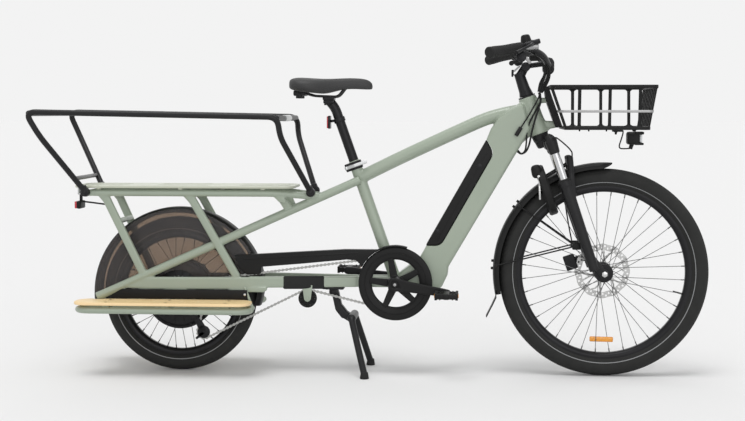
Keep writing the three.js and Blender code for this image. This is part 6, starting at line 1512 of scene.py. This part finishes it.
def make_grip(name, side):
    start, end = bar_route(side)[-2:]
    run = (end - start).normalized()
    first = start.lerp(end, 0.184)
    last = end + run * 0.0052
    stations, radii = [], []
    count = 60
    for k in range(count + 1):
        t = k / count
        stations.append(first.lerp(last, t))
        swell = 0.93 + 0.05 * math.cos(2 * math.pi * t)
        rib = 0.05 if 0.12 < t < 0.9 and k % 3 == 0 else 0
        edge = 0.88 if k in (0, count) else 1
        radii.append(min(1, (swell + rib) * edge if 0.08 < t < 0.93 else 1.0 * edge))
    grip = tube("grip_body", stations, 17, 32, radii=radii)
    dressed(grip, "steering", GRIP, "grip_rubber", f"{name}_grip").name = f"{name}_ribbed_grip"
    centre = first - run * 0.0073

    def near(forward, outward, up):
        return centre + Vector((forward / 1000 * math.cos(LEAN) - up / 1000 * math.sin(LEAN),
                                side * outward / 1000,
                                forward / 1000 * math.sin(LEAN) + up / 1000 * math.cos(LEAN)))
    tank = welded("lever_mount", [
        rod("clamp", centre - run * 0.007, centre + run * 0.007, 17, sides=32, bevel=2),
        rod("master", near(17, 1, 2), near(65, 0.5, 0), 9, 8, 28, 2),
        bar("bridge", centre, near(55, 0.6, 0), 10, 9, 3)], 1.3, 4, 0.6)
    pod = rod("pod", near(-6, 2, -27), near(-6, -20, -29), 17, 15, 32, 4)
    pod_arm = rod("pod_arm", near(0, -5, 0), near(-8, -5, -30), 6, sides=20)
    thumb = joined("thumb", [bar("thumb_lever", near(-10, -14, -36), near(-38, -16, -36), 10, 7, 3),
                             rod("thumb_knob", near(-40, -10, -36), near(-40, -24, -36), 8, 7, 24, 2)])
    assembled(f"{name}_lever_mount", [tank, pod, pod_arm], "steering", ALLOY, "black_plastic",
              f"{name}_control")
    if side < 0:
        dressed(thumb, "steering", PLASTIC, "black_plastic").name = "shift_thumb_lever"
    else:
        bpy.data.objects.remove(thumb)
    pivot = near(17 + 24, 1 + 9 + 5.5, 0)
    tip = first + run * 0.1 + steered(47, 0, -22) - steered(0, 0, 0)
    bend = pivot.lerp(tip, 0.35) + steered(9, 0, 0) - steered(0, 0, 0)
    route = spline_route([pivot, bend, pivot.lerp(tip, 0.72) + steered(3, 0, 0) - steered(0, 0, 0), tip], 8)
    blade = tube("blade", route, 5.6, 20,
                 radii=[1.05 - 0.35 * math.sin(math.pi * k / (len(route) - 1)) for k in range(len(route))])
    hub = rod("lever_hub", pivot + Vector((0, 0, -0.0065)), pivot + Vector((0, 0, 0.0065)), 5.6, sides=24,
              bevel=1)
    assembled(f"{name}_lever_blade", [blade, hub], f"{name}_brake_lever", ALLOY, "black_metal",
              f"{name}_brake_lever")


def make_display():
    case = bar("display_case", steered(45, -42, 733), steered(82, -42, 722), 20, 56, 5)
    dressed(case, "steering", PLASTIC, "black_plastic")
    knob = [rod("bell_cup", steered(46, -165, 774), steered(51, -165, 803), 19, 13, 40, 6),
            rod("bell_base", steered(42, -165, 762), steered(47, -165, 776), 9, sides=24),
            rod("bell_striker", steered(60, -165, 777), steered(79, -165, 771), 5.4, 4.4, 20, 2)]
    assembled("bell", knob, "steering", PLASTIC, "black_plastic")
    tank = [rod("tank", steered(40, -196, 765), steered(78, -196, 753), 10.5, 9.5, 32, 4),
            bar("tank_arm", steered(21, -194, 755), steered(38, -186, 712), 10, 8, 3)]
    assembled("brake_fluid_tank", tank, "steering", GREY_WIRE, "alloy")


# Basket and lights


def basket_at(z):
    share = (z - 805) / 130
    return 1252 - 46 * share, 1518 + 21 * share, 172 + 17 * share


def make_basket():
    def hoop(z, width, rise):
        x1, x2, half = basket_at(z)
        low = z - rise / 2
        ring = slab("hoop", rounded_rectangle(x1, x2, -half, half, 18, 6), low, low + rise, 0)
        inside = rounded_rectangle(x1 + width, x2 - width, -half + width, half - width, 12, 6)
        room = slab("hoop_room", inside, low - 5, low + rise + 5, 0)
        return carved(ring, room)
    dressed(smoothed(bevelled(hoop(858, 7, 8), 0.8)), "frame", GREY_WIRE, "steel").name = "basket_middle_hoop"
    parts = [hoop(935, 14, 10), hoop(805, 14, 10)]
    for x in (1297, 1390.5, 1483):
        for side in BOTH:
            parts += [bar("side_slat", at(x, side * 166, 805), at(x, side * 183, 935), 11, 6, 2),
                      bar("slat_foot", at(x, side * 166, 806), at(x, side * 167, 813), 22, 7, 3),
                      bar("slat_head", at(x, side * 182, 926), at(x, side * 183, 933), 20, 7, 3)]

    def wall_slat(top_x, low_x, lean, share):
        y = 2 * share - 1
        return bar("wall_slat", at(low_x + lean * 6, y * 159, 805), at(top_x + lean * 6, y * 176, 935), 6, 13,
                   2)
    parts += [wall_slat(1539, 1518, -1, k / 8) for k in range(9)]
    parts += [wall_slat(1206, 1252, 1, share) for share in (0, 0.2, 0.8, 1)]
    middles = [(2 * (k + 1) / 6 - 1) * 172 for k in range(5)]
    parts += [block("floor_bar", at(1258, y - 6.5, 800), at(1512, y + 6.5, 805), 1.5) for y in middles]
    parts.append(plate("back_plate", [(1193, 936), (1209, 936), (1220, 897), (1251, 806), (1231, 806),
                                      (1199, 895)], -40, 40, 2))
    parts += [stud("floor_bolt", x, -40, 793.5, 801, 3.2, sides=16) for x in (1307, 1336, 1392)]
    parts += [block("lamp_bracket", at(1413, -14, 792), at(1447, 14, 801), 2),
              stud("lamp_bolt", 1425.5, 0, 783, 794, 4, sides=16)]
    parts.append(block("light_post", at(1478, -6, 793.3), at(1490, 6, 806), 1.5))
    dressed(welded("front_basket", parts, 2, 4, 0.5), "frame", PLASTIC, "black_metal", "basket")


def make_lights():
    shell = [block("lamp", at(1460, -28, 751), at(1500, 28, 792.5), 8),
             block("lamp_hood", at(1484, -29, 784), at(1513, 29, 793), 3),
             block("lamp_lip", at(1484, -29, 750), at(1512, 29, 757.5), 2.5),
             rod("lamp_plug", at(1478, 0, 756), at(1472, 0, 737), 7, 6.4, 20, 1)]
    assembled("headlight_shell", shell, "frame", PLASTIC, "black_plastic", "headlight")
    dressed(block("headlight_lens", at(1499, -24, 758), at(1508, 24, 785), 4), "frame", CLEAR, "steel")
    body = block("tail_lamp_back", at(-342, -30, 536), at(-328, 30, 562), 4)
    hook = bar("tail_lamp_arm", at(-334, 0, 558), at(-334, 0, 586), 8, 14, 2)
    assembled("tail_lamp_housing", [body, hook], "frame", PLASTIC, "black_plastic", "tail_light")
    dressed(block("tail_lamp_lens", at(-349, -29, 537), at(-341, 29, 561), 3), "frame", RED, "red_lens")


# The studio


def make_studio():
    bpy.ops.mesh.primitive_plane_add(size=260)
    floor = settled(bpy.context.object, "studio_floor")
    f = Finish("studio_floor", roughness=1, specular_ior_level=0)
    f.shader.inputs["Base Color"].default_value = (0.815, 0.815, 0.815, 1)
    floor.data.materials.append(f.material)
    world = bpy.data.worlds.new("studio")
    bpy.context.scene.world = world
    world.use_nodes = True
    tree = world.node_tree
    lit = tree.nodes["Background"]
    lit.inputs["Color"].default_value = (1, 1, 1, 1)
    lit.inputs["Strength"].default_value = 0.6
    seen = tree.nodes.new("ShaderNodeBackground")
    seen.inputs["Color"].default_value = (0.896, 0.896, 0.896, 1)
    path = tree.nodes.new("ShaderNodeLightPath")
    first, second = tree.nodes.new("ShaderNodeMath"), tree.nodes.new("ShaderNodeMath")
    first.operation = second.operation = "MAXIMUM"
    mix = tree.nodes.new("ShaderNodeMixShader")
    for source, goal in (
        (path.outputs["Is Camera Ray"], first.inputs[0]),
        (path.outputs["Is Glossy Ray"], first.inputs[1]),
        (first.outputs[0], second.inputs[0]),
        (path.outputs["Is Transmission Ray"], second.inputs[1]),
        (second.outputs[0], mix.inputs[0]),
        (lit.outputs[0], mix.inputs[1]),
        (seen.outputs[0], mix.inputs[2]),
        (mix.outputs[0], tree.nodes["World Output"].inputs[0]),
    ):
        tree.links.new(source, goal)
    add_lamp("key_lamp", (0.12, 0.2, -1), 1.35, 30)
    add_lamp("fill_lamp", (-0.3, 1, -0.2), 0.75, 50)
    add_lamp("rim_lamp", (0.1, -0.8, -0.5), 0.2, 40)


make_studio()
add_cables()
make_front_wheel()
make_rear_wheel()
make_chain()
make_sprockets()
make_derailleur()
make_cranks()
make_pedals()
make_chain_case()
make_main_frame()
make_battery()
make_rear_frame()
make_deck()
make_monkey_bars()
make_boards()
make_guards()
make_fenders()
make_seat()
make_stand()
make_fork()
make_lock()
make_calipers()
make_cockpit()
make_display()
make_basket()
make_lights()

bpy.context.scene.view_settings.view_transform = "Standard"
